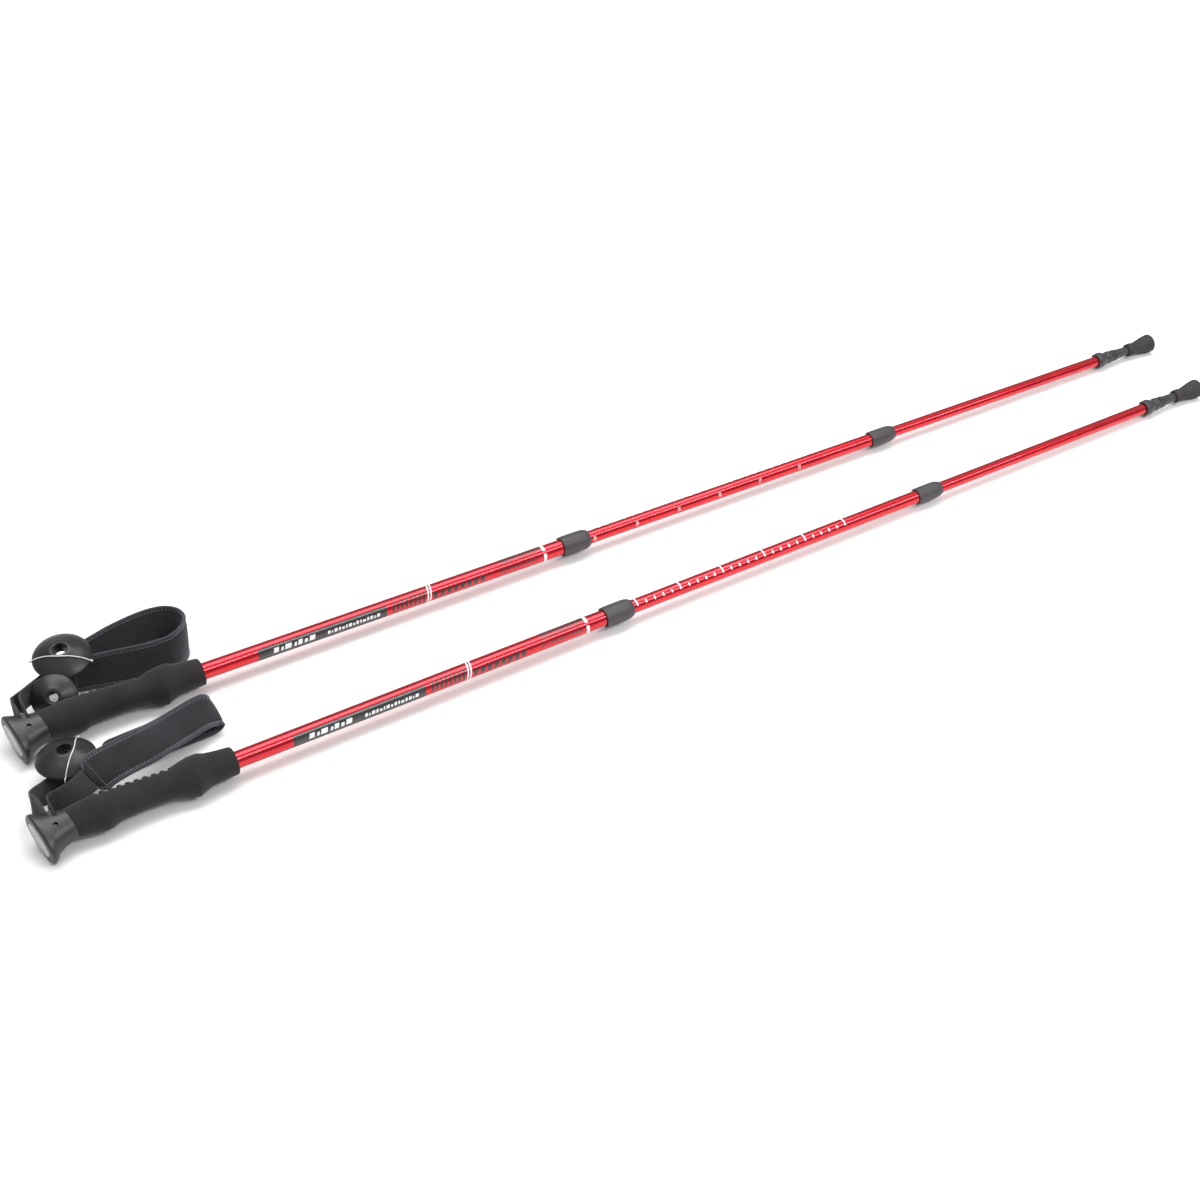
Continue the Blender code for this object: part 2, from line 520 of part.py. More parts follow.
def tag_loop(name, basket_name, frame):
    """A clear nylon line tied round a mud basket, over the dome and under it."""
    _, centre, normal, radius, height, hole = BASKETS[basket_name]
    side = radius + TAG_R + 0.5
    clear = TAG_R + 0.65
    points = []
    offset = 9.6
    for y in (-1.0, -0.93, -0.8, -0.6, -0.35, 0.0, 0.35, 0.6, 0.8, 0.93, 1.0):
        along, beside = y * side, offset * (1 - 0.45 * abs(y))
        rise = dome_height(math.hypot(along, beside), radius, height, hole + 2.2)
        points.append(Vector((rise + clear if abs(y) < 0.95 else 1.6, along, beside)))
    points.append(Vector((-0.6, side - 0.35, offset * 0.53)))
    points.append(Vector((-TAG_R - 0.5, side - 2.2, offset * 0.5)))
    points.append(Vector((-TAG_R - 0.1, 0.0, offset * 0.4)))
    points.append(Vector((-TAG_R - 0.5, 2.2 - side, offset * 0.5)))
    points.append(Vector((-0.9, 0.5 - side, offset * 0.5)))
    ring_points = spline(points, 2)
    turn = Vector(normal).to_track_quat("X", "Y").to_matrix().to_4x4()
    turn = turn @ Matrix.Rotation(math.radians(TAG_TURNS[basket_name]), 4, "X")
    place = Matrix.Translation(Vector(centre) * MM) @ turn
    curve = bpy.data.curves.new(name, "CURVE")
    curve.dimensions = "3D"
    curve.bevel_depth = TAG_R * MM
    curve.bevel_resolution = 1
    curve.use_fill_caps = True
    line = curve.splines.new("POLY")
    line.points.add(len(ring_points) - 1)
    for point, value in zip(line.points, ring_points):
        point.co = (*(value * MM), 1.0)
    curve.materials.append(material("nylon_line", CLEAR, 0.2))
    obj = bpy.data.objects.new(name, curve)
    bpy.context.scene.collection.objects.link(obj)
    obj.parent = frame
    obj.matrix_basis = place


# ---- assembly ---------------------------------------------------------------------------------
def build_pole(tag, frame):
    grip_frame = empty("grip_frame_" + tag, Matrix.Rotation(math.radians(GRIP_ROLL), 4, "X"), frame)
    grip_head(tag, grip_frame)
    head_cap(tag, grip_frame)
    strap_pin(tag, grip_frame)
    strap_wedge(tag, grip_frame)
    foam_grip(tag, grip_frame)
    strap_webbing(tag, frame)
    strap_pad(tag, frame)
    tube("upper_tube_" + tag, UPPER_TUBE_START, UPPER_TUBE_END, UPPER_R, frame)
    collar("upper_collar_" + tag, COLLAR_1_START, COLLAR_1_END, UPPER_R, UPPER_TUBE_END,
           MIDDLE_R + 0.25, 10.1, frame)
    upper_lock(tag, frame)
    shock_spring(tag, frame)
    tube("middle_tube_" + tag, MIDDLE_TUBE_START, MIDDLE_TUBE_END, MIDDLE_R, frame)
    collar("lower_collar_" + tag, COLLAR_2_START, COLLAR_2_END, MIDDLE_R, MIDDLE_TUBE_END,
           LOWER_R + 0.25, 8.6, frame)
    lower_lock(tag, frame)
    tube("lower_tube_" + tag, LOWER_TUBE_START, LOWER_TUBE_END, LOWER_R, frame)
    tip_adaptor(tag, frame)
    steel_tip(tag, frame)
    rubber_tip(tag, frame)


def main():
    clear_scene()
    place_a = Vector((POLE_A_PLACE[0], POLE_A_PLACE[1], AXIS_HEIGHT_HEAD)) * MM
    place_b = place_a + Vector((*POLE_B_OFFSET, 0.0)) * MM
    lean = Matrix.Rotation(PITCH, 4, "Y")
    frames = {
        "a": empty("pole_frame_a", Matrix.Translation(place_a) @ lean),
        "b": empty("pole_frame_b",
                   Matrix.Translation(place_b) @ Matrix.Rotation(math.radians(POLE_B_YAW), 4, "Z") @ lean),
    }
    for tag, frame in frames.items():
        build_pole(tag, frame)
    for name, (tag, centre, normal, radius, height, hole) in BASKETS.items():
        basket(name, centre, normal, radius, height, hole, frames[tag])
    tag_loop("tag_line_a", "mud_basket_a", frames["a"])
    tag_loop("tag_line_b", "mud_basket_b", frames["b"])


main()
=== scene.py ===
"""The looks of a pair of trekking poles lying side by side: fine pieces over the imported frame.

Each piece is modelled in its pole's own frame, in millimetres: +X from the handle's end to the tip,
origin on the axis at the handle's end, +Z up.
"""

import math

import bmesh
import bpy
from mathutils import Matrix, Vector


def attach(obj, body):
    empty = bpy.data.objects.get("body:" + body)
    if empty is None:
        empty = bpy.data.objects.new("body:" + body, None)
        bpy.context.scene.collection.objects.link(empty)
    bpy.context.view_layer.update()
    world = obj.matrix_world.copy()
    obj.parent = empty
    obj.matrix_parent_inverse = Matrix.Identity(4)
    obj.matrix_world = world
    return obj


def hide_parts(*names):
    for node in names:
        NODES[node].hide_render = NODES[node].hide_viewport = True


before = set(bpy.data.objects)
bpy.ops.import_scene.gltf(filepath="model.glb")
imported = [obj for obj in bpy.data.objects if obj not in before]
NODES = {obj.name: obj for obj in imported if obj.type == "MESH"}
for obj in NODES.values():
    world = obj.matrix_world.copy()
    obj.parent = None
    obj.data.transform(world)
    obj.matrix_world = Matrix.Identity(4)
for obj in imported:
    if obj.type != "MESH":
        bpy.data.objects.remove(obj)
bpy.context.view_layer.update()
MM = 0.001
WAVE_UNIT = math.pi / 10.0   # a wave texture repeats every WAVE_UNIT over its scale, in metres

# ---- the object's dimensions, as in the CAD, in millimetres ----------------------------------
UPPER_R, MIDDLE_R, LOWER_R, WALL = 8.0, 6.8, 5.8, 0.8
GAP = 0.3
# start, end, radius and body of each tube; tube, start, end, inner and outer radius of each collar
TUBES = {"upper": (21.0, 586.5, UPPER_R, "handle"), "middle": (505.0, 969.5, MIDDLE_R, "middle"),
         "lower": (905.0, 1277.0, LOWER_R, "lower")}
COLLARS = {"upper": ("upper", 560.2, 592.3, MIDDLE_R + 0.25, 10.1),
           "lower": ("middle", 943.2, 975.0, LOWER_R + 0.25, 8.6)}
HEAD_NECK_END, HEAD_NECK_R, FOAM_END = 72.0, 9.8, 178.0
PIN_X, PIN_R = 14.0, 2.0
WEBBING_WIDTH, WEBBING_THICK = 22.0, 1.6
WEBBING_RIB, WEBBING_SELVEDGE = 2.1, 0.87   # ribs every 2.1 mm, out to that share of the half width
STITCH_START, STITCH_PITCH, BAR_TACK_PITCH = 8.0, 3.0, 4.7
BAR_TACKS = {"a": 14, "b": 0}
PAD_WIDTH, PAD_THICK = 36.0, 4.4
GRIP_ROLL = math.radians(28.0)
AXIS_HEAD, AXIS_TIP = 19.78, 10.18
PITCH = math.atan2(AXIS_HEAD - AXIS_TIP, 1346.0)
PLACE_A = Vector((-658.345, 32.17, AXIS_HEAD)) * MM
PLACE_B = PLACE_A + Vector((-24.9, -134.0, 0.0)) * MM
POLE = {
    "a": Matrix.Translation(PLACE_A) @ Matrix.Rotation(PITCH, 4, "Y"),
    "b": Matrix.Translation(PLACE_B) @ Matrix.Rotation(math.radians(1.37), 4, "Z") @ Matrix.Rotation(PITCH, 4, "Y"),
}
GRIP = {tag: POLE[tag] @ Matrix.Rotation(GRIP_ROLL, 4, "X") for tag in POLE}
STRAP_SIDE = Vector((0.0, math.cos(GRIP_ROLL), math.sin(GRIP_ROLL)))
PIN_TURN = Matrix.Translation((PIN_X * MM, 0, 0)) @ Matrix.Rotation(math.pi / 2, 4, "Y")

HEAD_SECTIONS = [(-1.6, 25.4, 19.2, 13.9, -0.13), (0.2, 27.0, 20.7, 15.3, -0.13), (3.2, 25.4, 20.2, 15.2, -0.13),
                 (8.0, 20.2, 18.4, 14.3, -0.14), (14.0, 16.8, 16.8, 13.4, -0.15), (21.0, 14.3, 15.4, 12.6, -0.17),
                 (27.4, 12.3, 14.6, 12.1, -0.19)]
CAP_BEAK, CAP_STRAP, CAP_HALF, CAP_DEPTH = 19.5, 13.6, 9.2, 2.2
FOAM_SECTIONS = [(27.8, 12.2, 14.4, 12.0, -0.19), (37.0, 13.6, 15.8, 13.3, -0.10),
                 (54.6, 16.19, 17.56, 15.06, -0.007), (56.0, 16.4, 17.7, 15.2, 0.0), (57.4, 16.26, 17.7, 15.2, 0.0),
                 (60.0, 16.0, 17.7, 15.2, 0.0), (71.0, 12.6, 17.2, 14.3, 0.0), (96.0, 11.3, 15.9, 13.3, 0.0),
                 (121.0, 12.2, 14.7, 13.4, 0.0), (131.0, 15.8, 16.8, 15.6, 0.0), (137.6, 17.95, 17.96, 17.09, 0.0),
                 (139.0, 18.4, 18.2, 17.4, 0.0), (140.4, 17.88, 18.24, 17.26, 0.0), (147.0, 15.4, 18.4, 16.6, 0.0),
                 (155.0, 13.2, 16.0, 14.4, 0.0), (176.5, 12.4, 13.4, 12.7, 0.0)]
STRAPS = {
    "a": {
        "far_tail": [((84.0, 74.0, -0.4), (-0.4, 0.9, 0)), ((66.0, 66.6, -0.6), (-0.5, 0.9, 0)),
                     ((45.0, 57.4, -0.5), (-0.5, 0.9, 0)), ((27.0, 46.5, 0.5), (-0.7, 0.7, 0)),
                     ((14.5, 36.0, 3.0), (-1, 0.4, 0)), ((10.6, 26.0, 7.5), (-1, 0, 0))],
        "near_tail": [((17.8, 26.0, 8.0), (1, -0.1, 0)), ((22.5, 37.5, 5.0), (0.8, -0.6, 0)),
                      ((35.0, 49.4, 0.6), (0.5, -0.8, 0)), ((52.0, 53.6, -0.4), (0.2, -1, 0)),
                      ((68.4, 54.4, -0.6), (0, -1, 0))],
        "pad": [((70.6, 54.4, -0.4), (0, -1, 0)), ((90.0, 52.4, -0.4), (-0.1, -1, 0.14)),
                ((111.0, 47.8, -0.4), (-0.1, -1, 0.26)), ((130.0, 43.6, -0.4), (-0.1, -1, 0.28)),
                ((150.0, 40.4, -0.4), (0, -1, 0.28)), ((168.0, 42.0, -0.4), (0.3, -1, 0.24)),
                ((181.0, 49.8, -0.3), (0.6, -0.8, 0.12)), ((187.8, 60.0, -0.2), (0.9, -0.4, 0)),
                ((189.4, 69.6, 0.2), (1, 0.1, -0.1)), ((185.0, 79.4, 0.8), (0.8, 0.6, -0.2)),
                ((174.0, 86.0, 1.0), (0.3, 1, -0.3)), ((155.0, 87.8, 0.6), (0, 1, -0.3)),
                ((127.0, 84.8, 0.0), (-0.1, 1, -0.2)), ((104.0, 80.0, -0.3), (-0.2, 1, -0.05)),
                ((86.0, 74.8, -0.2), (-0.3, 1, 0))],
    },
    "b": {
        "far_tail": [((86.6, 71.6, -9.2), (0, 0.36, -0.9)), ((66.0, 68.0, -9.8), (-0.1, 0.5, -0.8)),
                     ((44.0, 63.5, -9.6), (-0.2, 0.8, -0.6)), ((26.0, 57.0, -7.0), (-0.4, 0.9, -0.3)),
                     ((12.5, 47.0, -1.5), (-0.9, 0.5, 0)), ((8.6, 36.0, 4.0), (-1, 0.1, 0)),
                     ((10.2, 26.0, 8.0), (-1, 0, 0))],
        "near_tail": [((18.6, 21.0, 9.2), (0.9, -0.6, 0.1)), ((23.6, 22.6, 9.4), (0.45, -0.95, 0.2)),
                      ((31.0, 22.6, 9.8), (0, -1, 0.3)), ((44.0, 24.4, 11.2), (0, -0.9, 0.45)),
                      ((57.2, 29.2, 13.2), (0, -0.8, 0.6))],
        "pad": [((59.0, 30.1, 13.5), (0, -0.8, 0.6)), ((72.0, 35.2, 14.8), (0, -0.6, 0.8)),
                ((88.0, 39.8, 14.0), (0, -0.46, 0.9)), ((119.0, 48.0, 11.5), (0, -0.42, 0.9)),
                ((151.0, 63.0, 4.5), (0, -0.34, 0.94)), ((175.0, 71.0, 3.0), (0.1, -0.3, 0.94)),
                ((188.5, 74.5, 0.6), (0.5, -0.3, 0.8)), ((194.5, 75.6, -3.6), (0.95, -0.1, 0.2)),
                ((193.5, 76.0, -7.6), (0.8, 0.1, -0.6)), ((185.0, 76.0, -10.0), (0.2, 0.25, -0.9)),
                ((165.0, 75.6, -9.8), (0, 0.3, -0.9)), ((143.0, 74.8, -9.4), (0, 0.33, -0.9)),
                ((112.0, 73.2, -9.2), (0, 0.36, -0.9)), ((88.6, 71.8, -9.2), (0, 0.36, -0.9))],
    },
}
BASKETS = {
    "mud_basket_a": ("a", "basket_a", (70.2, 61.8, 19.85), (-0.12, -0.2, 0.97), 27.0, 12.0, 6.8),
    "small_basket_a": ("a", "second_basket_a", (49.6, 31.4, 2.4), (-0.34, -0.72, 0.6), 21.6, 9.5, 5.2),
    "mud_basket_b": ("b", "basket_b", (54.0, 73.4, 6.8), (-0.05, 0.0, 1.0), 27.0, 12.0, 6.8),
}
TAG_TURNS = {"mud_basket_a": 91.0, "mud_basket_b": -124.0}
TAG_R, HUB_WALL = 0.6, 2.2
# a basket's outer line, from the rim inwards: shares of its radius and of its height
DOME_LINE = ((1.0, 0.0), (0.965, 0.16), (0.76, 0.5), (0.53, 0.78))

# ---- camera ------------------------------------------------------------------------------------
camera_data = bpy.data.cameras.new("camera")
camera_data.sensor_width = 36.0
camera_data.lens = 64.29
camera_data.clip_start = 0.05
camera = bpy.data.objects.new("camera", camera_data)
LOOK_DOWN, LOOK_RIGHT = 36.78, 31.69   # degrees below the horizon, and to the right of +Y
camera.location = (-0.974345, -1.46183, 1.245)
camera.rotation_euler = (math.radians(90.0 - LOOK_DOWN), 0.0, math.radians(-LOOK_RIGHT))
bpy.context.scene.collection.objects.link(camera)
bpy.context.scene.camera = camera


# ---- materials ---------------------------------------------------------------------------------
class Shader:
    """A Principled material and short calls for its nodes."""

    def __init__(self, name, colour, roughness, metallic=0.0, **sockets):
        self.mat = bpy.data.materials.new(name)
        self.mat.use_nodes = True
        self.tree = self.mat.node_tree
        self.bsdf = self.tree.nodes["Principled BSDF"]
        self.bsdf.inputs["Base Color"].default_value = (*colour, 1.0)
        self.bsdf.inputs["Roughness"].default_value = roughness
        self.bsdf.inputs["Metallic"].default_value = metallic
        for key, value in sockets.items():
            self.bsdf.inputs[key.replace("_", " ")].default_value = value
        self.mat.diffuse_color = (*colour, 1.0)
        self.height = None

    def node(self, kind, **values):
        node = self.tree.nodes.new(kind)
        for key, value in values.items():
            setattr(node, key, value)
        return node

    def coords(self, kind="Object", scale=(1.0, 1.0, 1.0)):
        texture = self.node("ShaderNodeTexCoord")
        mapping = self.node("ShaderNodeMapping")
        mapping.inputs["Scale"].default_value = scale
        self.tree.links.new(texture.outputs[kind], mapping.inputs["Vector"])
        return mapping.outputs["Vector"]

    def noise(self, scale, detail=4.0, vector=None, roughness=0.55):
        node = self.node("ShaderNodeTexNoise")
        node.inputs["Scale"].default_value = scale
        node.inputs["Detail"].default_value = detail
        node.inputs["Roughness"].default_value = roughness
        self.tree.links.new(vector or self.coords(), node.inputs["Vector"])
        return node.outputs["Fac"]

    def cells(self, scale):
        node = self.node("ShaderNodeTexVoronoi")
        node.inputs["Scale"].default_value = scale
        self.tree.links.new(self.coords(), node.inputs["Vector"])
        return node.outputs["Distance"]

    def wave(self, direction, scale, vector, distortion):
        node = self.node("ShaderNodeTexWave", bands_direction=direction)
        node.inputs["Scale"].default_value = scale
        node.inputs["Distortion"].default_value = distortion
        self.tree.links.new(vector, node.inputs["Vector"])
        return node.outputs["Fac"]

    def maths(self, operation, a, b):
        node = self.node("ShaderNodeMath", operation=operation)
        for slot, value in zip(node.inputs, (a, b)):
            if isinstance(value, (int, float)):
                slot.default_value = value
            else:
                self.tree.links.new(value, slot)
        return node.outputs["Value"]

    def blend(self, a, b, share=0.5):
        """share of a and the rest of b."""
        return self.maths("ADD", self.maths("MULTIPLY", a, share), self.maths("MULTIPLY", b, 1 - share))

    def spread(self, value, low, high):
        node = self.node("ShaderNodeMapRange")
        node.inputs["From Min"].default_value = 0.3
        node.inputs["From Max"].default_value = 0.7
        node.inputs["To Min"].default_value = low
        node.inputs["To Max"].default_value = high
        self.tree.links.new(value, node.inputs["Value"])
        return node.outputs["Result"]

    def tint(self, value, dark, light, low_in=0.3, high_in=0.7):
        """Base colour from dark to light by value."""
        ramp = self.node("ShaderNodeValToRGB")
        ramp.color_ramp.elements[0].position = low_in
        ramp.color_ramp.elements[1].position = high_in
        ramp.color_ramp.elements[0].color = (*dark, 1.0)
        ramp.color_ramp.elements[1].color = (*light, 1.0)
        self.tree.links.new(value, ramp.inputs["Fac"])
        self.tree.links.new(ramp.outputs["Color"], self.bsdf.inputs["Base Color"])

    def rough(self, value, low, high):
        self.tree.links.new(self.spread(value, low, high), self.bsdf.inputs["Roughness"])

    def bump(self, value, depth, strength=1.0):
        """Adds a bump of that depth in metres over those before it."""
        node = self.node("ShaderNodeBump")
        node.inputs["Strength"].default_value = strength
        node.inputs["Distance"].default_value = depth
        self.tree.links.new(value, node.inputs["Height"])
        if self.height is not None:
            self.tree.links.new(self.height, node.inputs["Normal"])
        self.height = node.outputs["Normal"]
        self.tree.links.new(self.height, self.bsdf.inputs["Normal"])


def shade(colour, factor):
    return tuple(min(1.0, channel * factor) for channel in colour)


def anodised(name, colour):
    s = Shader(name, colour, 0.19, 0.94, Coat_Weight=0.6, Coat_Roughness=0.05, Specular_IOR_Level=0.5)
    along = s.noise(1.0, 5.0, s.coords("UV", (14.0, 900.0, 1.0)))
    cloud = s.noise(38.0, 3.0)
    s.tint(cloud, shade(colour, 0.86), shade(colour, 1.1), 0.25, 0.75)
    s.rough(along, 0.18, 0.21)
    s.bump(along, 0.000002, 0.15)
    return s.mat


def plastic(name, colour, rough=0.4, grain=2600.0, depth=0.00003, coat=0.0, mottle=0.12, spec=0.5):
    s = Shader(name, colour, rough, 0.0, Coat_Weight=coat, Coat_Roughness=0.3, Specular_IOR_Level=spec)
    fine = s.noise(grain, 3.0)
    cloud = s.noise(60.0, 4.0)
    scuff = s.noise(9.0, 6.0, s.coords("Object", (30.0, 140.0, 60.0)), 0.7)
    s.tint(cloud, shade(colour, 1 - mottle), shade(colour, 1 + mottle))
    s.rough(s.blend(fine, scuff), rough - 0.06, rough + 0.08)
    s.bump(fine, depth)
    s.bump(s.cells(grain * 0.45), depth * 0.7)
    return s.mat


def foam_material(name, colour):
    s = Shader(name, colour, 0.88, 0.0, Sheen_Weight=0.14, Sheen_Roughness=0.5, Specular_IOR_Level=0.2,
               Sheen_Tint=(0.75, 0.72, 0.74, 1.0))
    pores = s.cells(1500.0)
    fine = s.noise(3800.0, 4.0)
    cloud = s.noise(45.0, 5.0)
    s.tint(cloud, shade(colour, 0.82), shade(colour, 1.2), 0.3, 0.7)
    s.rough(fine, 0.8, 0.94)
    s.bump(pores, 0.00012, 0.8)
    s.bump(fine, 0.00009, 0.8)
    s.bump(cloud, 0.0006, 0.35)
    return s.mat


def knit_material(name, colour, pitch=0.0011, sheen=0.35):
    """A fine knit: wales along the strap, courses across it, with a slight fuzz."""
    s = Shader(name, colour, 0.85, 0.0, Sheen_Weight=sheen, Sheen_Roughness=0.4, Specular_IOR_Level=0.25,
               Sheen_Tint=(0.6, 0.62, 0.75, 1.0))
    uv = s.coords("UV")
    wales = s.wave("Y", WAVE_UNIT / pitch, uv, 0.6)
    courses = s.wave("X", WAVE_UNIT / (pitch * 0.75), uv, 0.9)
    stitch = s.maths("MULTIPLY", wales, courses)
    fuzz = s.noise(5200.0, 3.0)
    cloud = s.noise(70.0, 4.0)
    s.tint(s.blend(stitch, cloud), shade(colour, 0.6), shade(colour, 1.5), 0.2, 0.8)
    s.rough(fuzz, 0.78, 0.95)
    s.bump(stitch, 0.00022, 0.9)
    s.bump(fuzz, 0.00008, 0.6)
    return s.mat


def webbing_material(name, colour):
    s = Shader(name, colour, 0.75, 0.0, Sheen_Weight=0.25, Sheen_Roughness=0.4, Specular_IOR_Level=0.35)
    uv = s.coords("UV")
    yarn = s.wave("Y", WAVE_UNIT / 0.0009, uv, 0.4)
    rib = s.wave("X", WAVE_UNIT / (WEBBING_RIB * MM), uv, 0.1)
    fuzz = s.noise(6000.0, 3.0)
    s.tint(s.blend(rib, fuzz, 0.6), shade(colour, 0.45), shade(colour, 1.9), 0.2, 0.85)
    s.rough(fuzz, 0.66, 0.85)
    s.bump(yarn, 0.00014, 0.8)
    s.bump(fuzz, 0.00006, 0.6)
    return s.mat


def thread_material(name, colour):
    s = Shader(name, colour, 0.6, 0.0, Sheen_Weight=0.2, Specular_IOR_Level=0.4)
    twist = s.wave("DIAGONAL", 900.0, s.coords(), 1.0)
    s.tint(twist, shade(colour, 0.7), shade(colour, 1.25), 0.2, 0.8)
    s.rough(twist, 0.5, 0.72)
    s.bump(twist, 0.00006)
    return s.mat


def metal(name, colour, rough=0.3):
    s = Shader(name, colour, rough, 1.0)
    turned = s.noise(1.0, 4.0, s.coords("Object", (5200.0, 120.0, 120.0)))
    s.tint(s.noise(80.0, 4.0), shade(colour, 0.85), shade(colour, 1.05))
    s.rough(turned, rough - 0.07, rough + 0.12)
    s.bump(turned, 0.00001, 0.7)
    return s.mat


def printed(name, colour, rough=0.32):
    """Screen-printed ink: slightly uneven, under the same clear coat as the tube."""
    s = Shader(name, colour, rough, 0.0, Coat_Weight=0.6, Coat_Roughness=0.08, Specular_IOR_Level=0.5)
    fine = s.noise(2200.0, 4.0)
    s.tint(fine, shade(colour, 0.9), shade(colour, 1.06), 0.25, 0.75)
    s.rough(fine, rough - 0.05, rough + 0.08)
    s.bump(fine, 0.000008, 0.5)
    return s.mat


def rubber_material(name, colour):
    s = Shader(name, colour, 0.72, 0.0, Specular_IOR_Level=0.35)
    fine = s.noise(3000.0, 4.0)
    dust = s.noise(120.0, 6.0, None, 0.7)
    s.tint(dust, shade(colour, 0.8), shade(colour, 1.5), 0.35, 0.75)
    s.rough(fine, 0.62, 0.82)
    s.bump(fine, 0.00005, 0.9)
    s.bump(s.cells(420.0), 0.00012, 0.5)
    return s.mat


def clear_nylon(name):
    s = Shader(name, (0.82, 0.83, 0.84), 0.22, 0.0, Transmission_Weight=0.15, Coat_Weight=0.4)
    fine = s.noise(1800.0, 3.0)
    s.tint(fine, (0.74, 0.75, 0.77), (0.88, 0.89, 0.9))
    s.rough(fine, 0.16, 0.3)
    s.bump(fine, 0.00001)
    return s.mat


RED = (0.6, 0.012, 0.024)
M = {
    "grip_plastic": plastic("moulded_grip", (0.0185, 0.0176, 0.021), 0.38, 2400.0, 0.00004),
    "cap_plastic": plastic("moulded_cap", (0.42, 0.425, 0.43), 0.4, 3000.0, 0.00002),
    "foam": foam_material("closed_cell_foam", (0.0195, 0.0178, 0.0192)),
    "webbing": webbing_material("ribbed_webbing", (0.026, 0.025, 0.028)),
    "pad_fabric": knit_material("knit_pad", (0.0215, 0.0195, 0.0225)),
    # the binding's knit is lighter than the pad's: painted highlight on the piped rim
    "binding": knit_material("bound_edge_painted_highlight", (0.05, 0.049, 0.056), 0.0008, 0.6),
    "thread": thread_material("polyester_thread", (0.19, 0.18, 0.195)),
    "bar_thread": thread_material("bar_tack_thread", (0.006, 0.006, 0.007)),
    "red_tube": anodised("anodised_red", RED),
    "collar_plastic": plastic("collar_nylon", (0.044, 0.0385, 0.041), 0.5, 1900.0, 0.00006),
    "nylon": plastic("moulded_nylon", (0.05, 0.05, 0.052), 0.5),
    "cone_plastic": plastic("moulded_cone", (0.42, 0.42, 0.43), 0.45),
    "steel": metal("turned_steel", (0.6, 0.6, 0.61), 0.3),
    # near-black steel for the strap pin's ends: painted shade of the recess they sit in
    "painted_shade_steel": metal("steel_painted_shade", (0.09, 0.09, 0.095), 0.34),
    "tip_plastic": plastic("tip_plastic_fine", (0.033, 0.0295, 0.0325), 0.42, 2600.0, 0.00004),
    "rubber": rubber_material("vulcanised_rubber", (0.029, 0.0255, 0.0265)),
    "basket_plastic": plastic("basket_plastic_fine", (0.0115, 0.0112, 0.0125), 0.36, 3000.0, 0.00002, 0.05, 0.12, 0.4),
    "nylon_line": clear_nylon("nylon_line_clear"),
    "ink_black": printed("ink_black", (0.012, 0.011, 0.013), 0.36),
    "ink_dark": printed("ink_dark_red", (0.09, 0.006, 0.012), 0.34),
    "ink_white": printed("ink_white", (0.82, 0.83, 0.84), 0.4),
}


# ---- mesh helpers ------------------------------------------------------------------------------
def piece(name, verts, faces, mat, place, body, uvs=None, slot=None, node=(), sharp=38.0, mats=None, outward=True):
    """A mesh given in millimetres in a local frame, set in the world, riding a body."""
    mesh = bpy.data.meshes.new(name)
    mesh.from_pydata([place @ (Vector(v) * MM) for v in verts], [], faces)
    if uvs:
        layer = mesh.uv_layers.new(name="UVMap")
        flat = [value for face in uvs for corner in face for value in (corner[0] * MM, corner[1] * MM)]
        layer.data.foreach_set("uv", flat)
    for one in (mat if isinstance(mat, (list, tuple)) else [mat]):
        mesh.materials.append(one)
    if mats:
        mesh.polygons.foreach_set("material_index", mats)
    if outward:
        bm = bmesh.new()
        bm.from_mesh(mesh)
        bmesh.ops.recalc_face_normals(bm, faces=bm.faces)
        bm.to_mesh(mesh)
        bm.free()
    mesh.shade_smooth()
    mesh.set_sharp_from_angle(angle=math.radians(sharp))
    obj = bpy.data.objects.new(name, mesh)
    bpy.context.scene.collection.objects.link(obj)
    if body:
        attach(obj, body)
    if node:
        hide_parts(*([node] if isinstance(node, str) else node))
    return obj


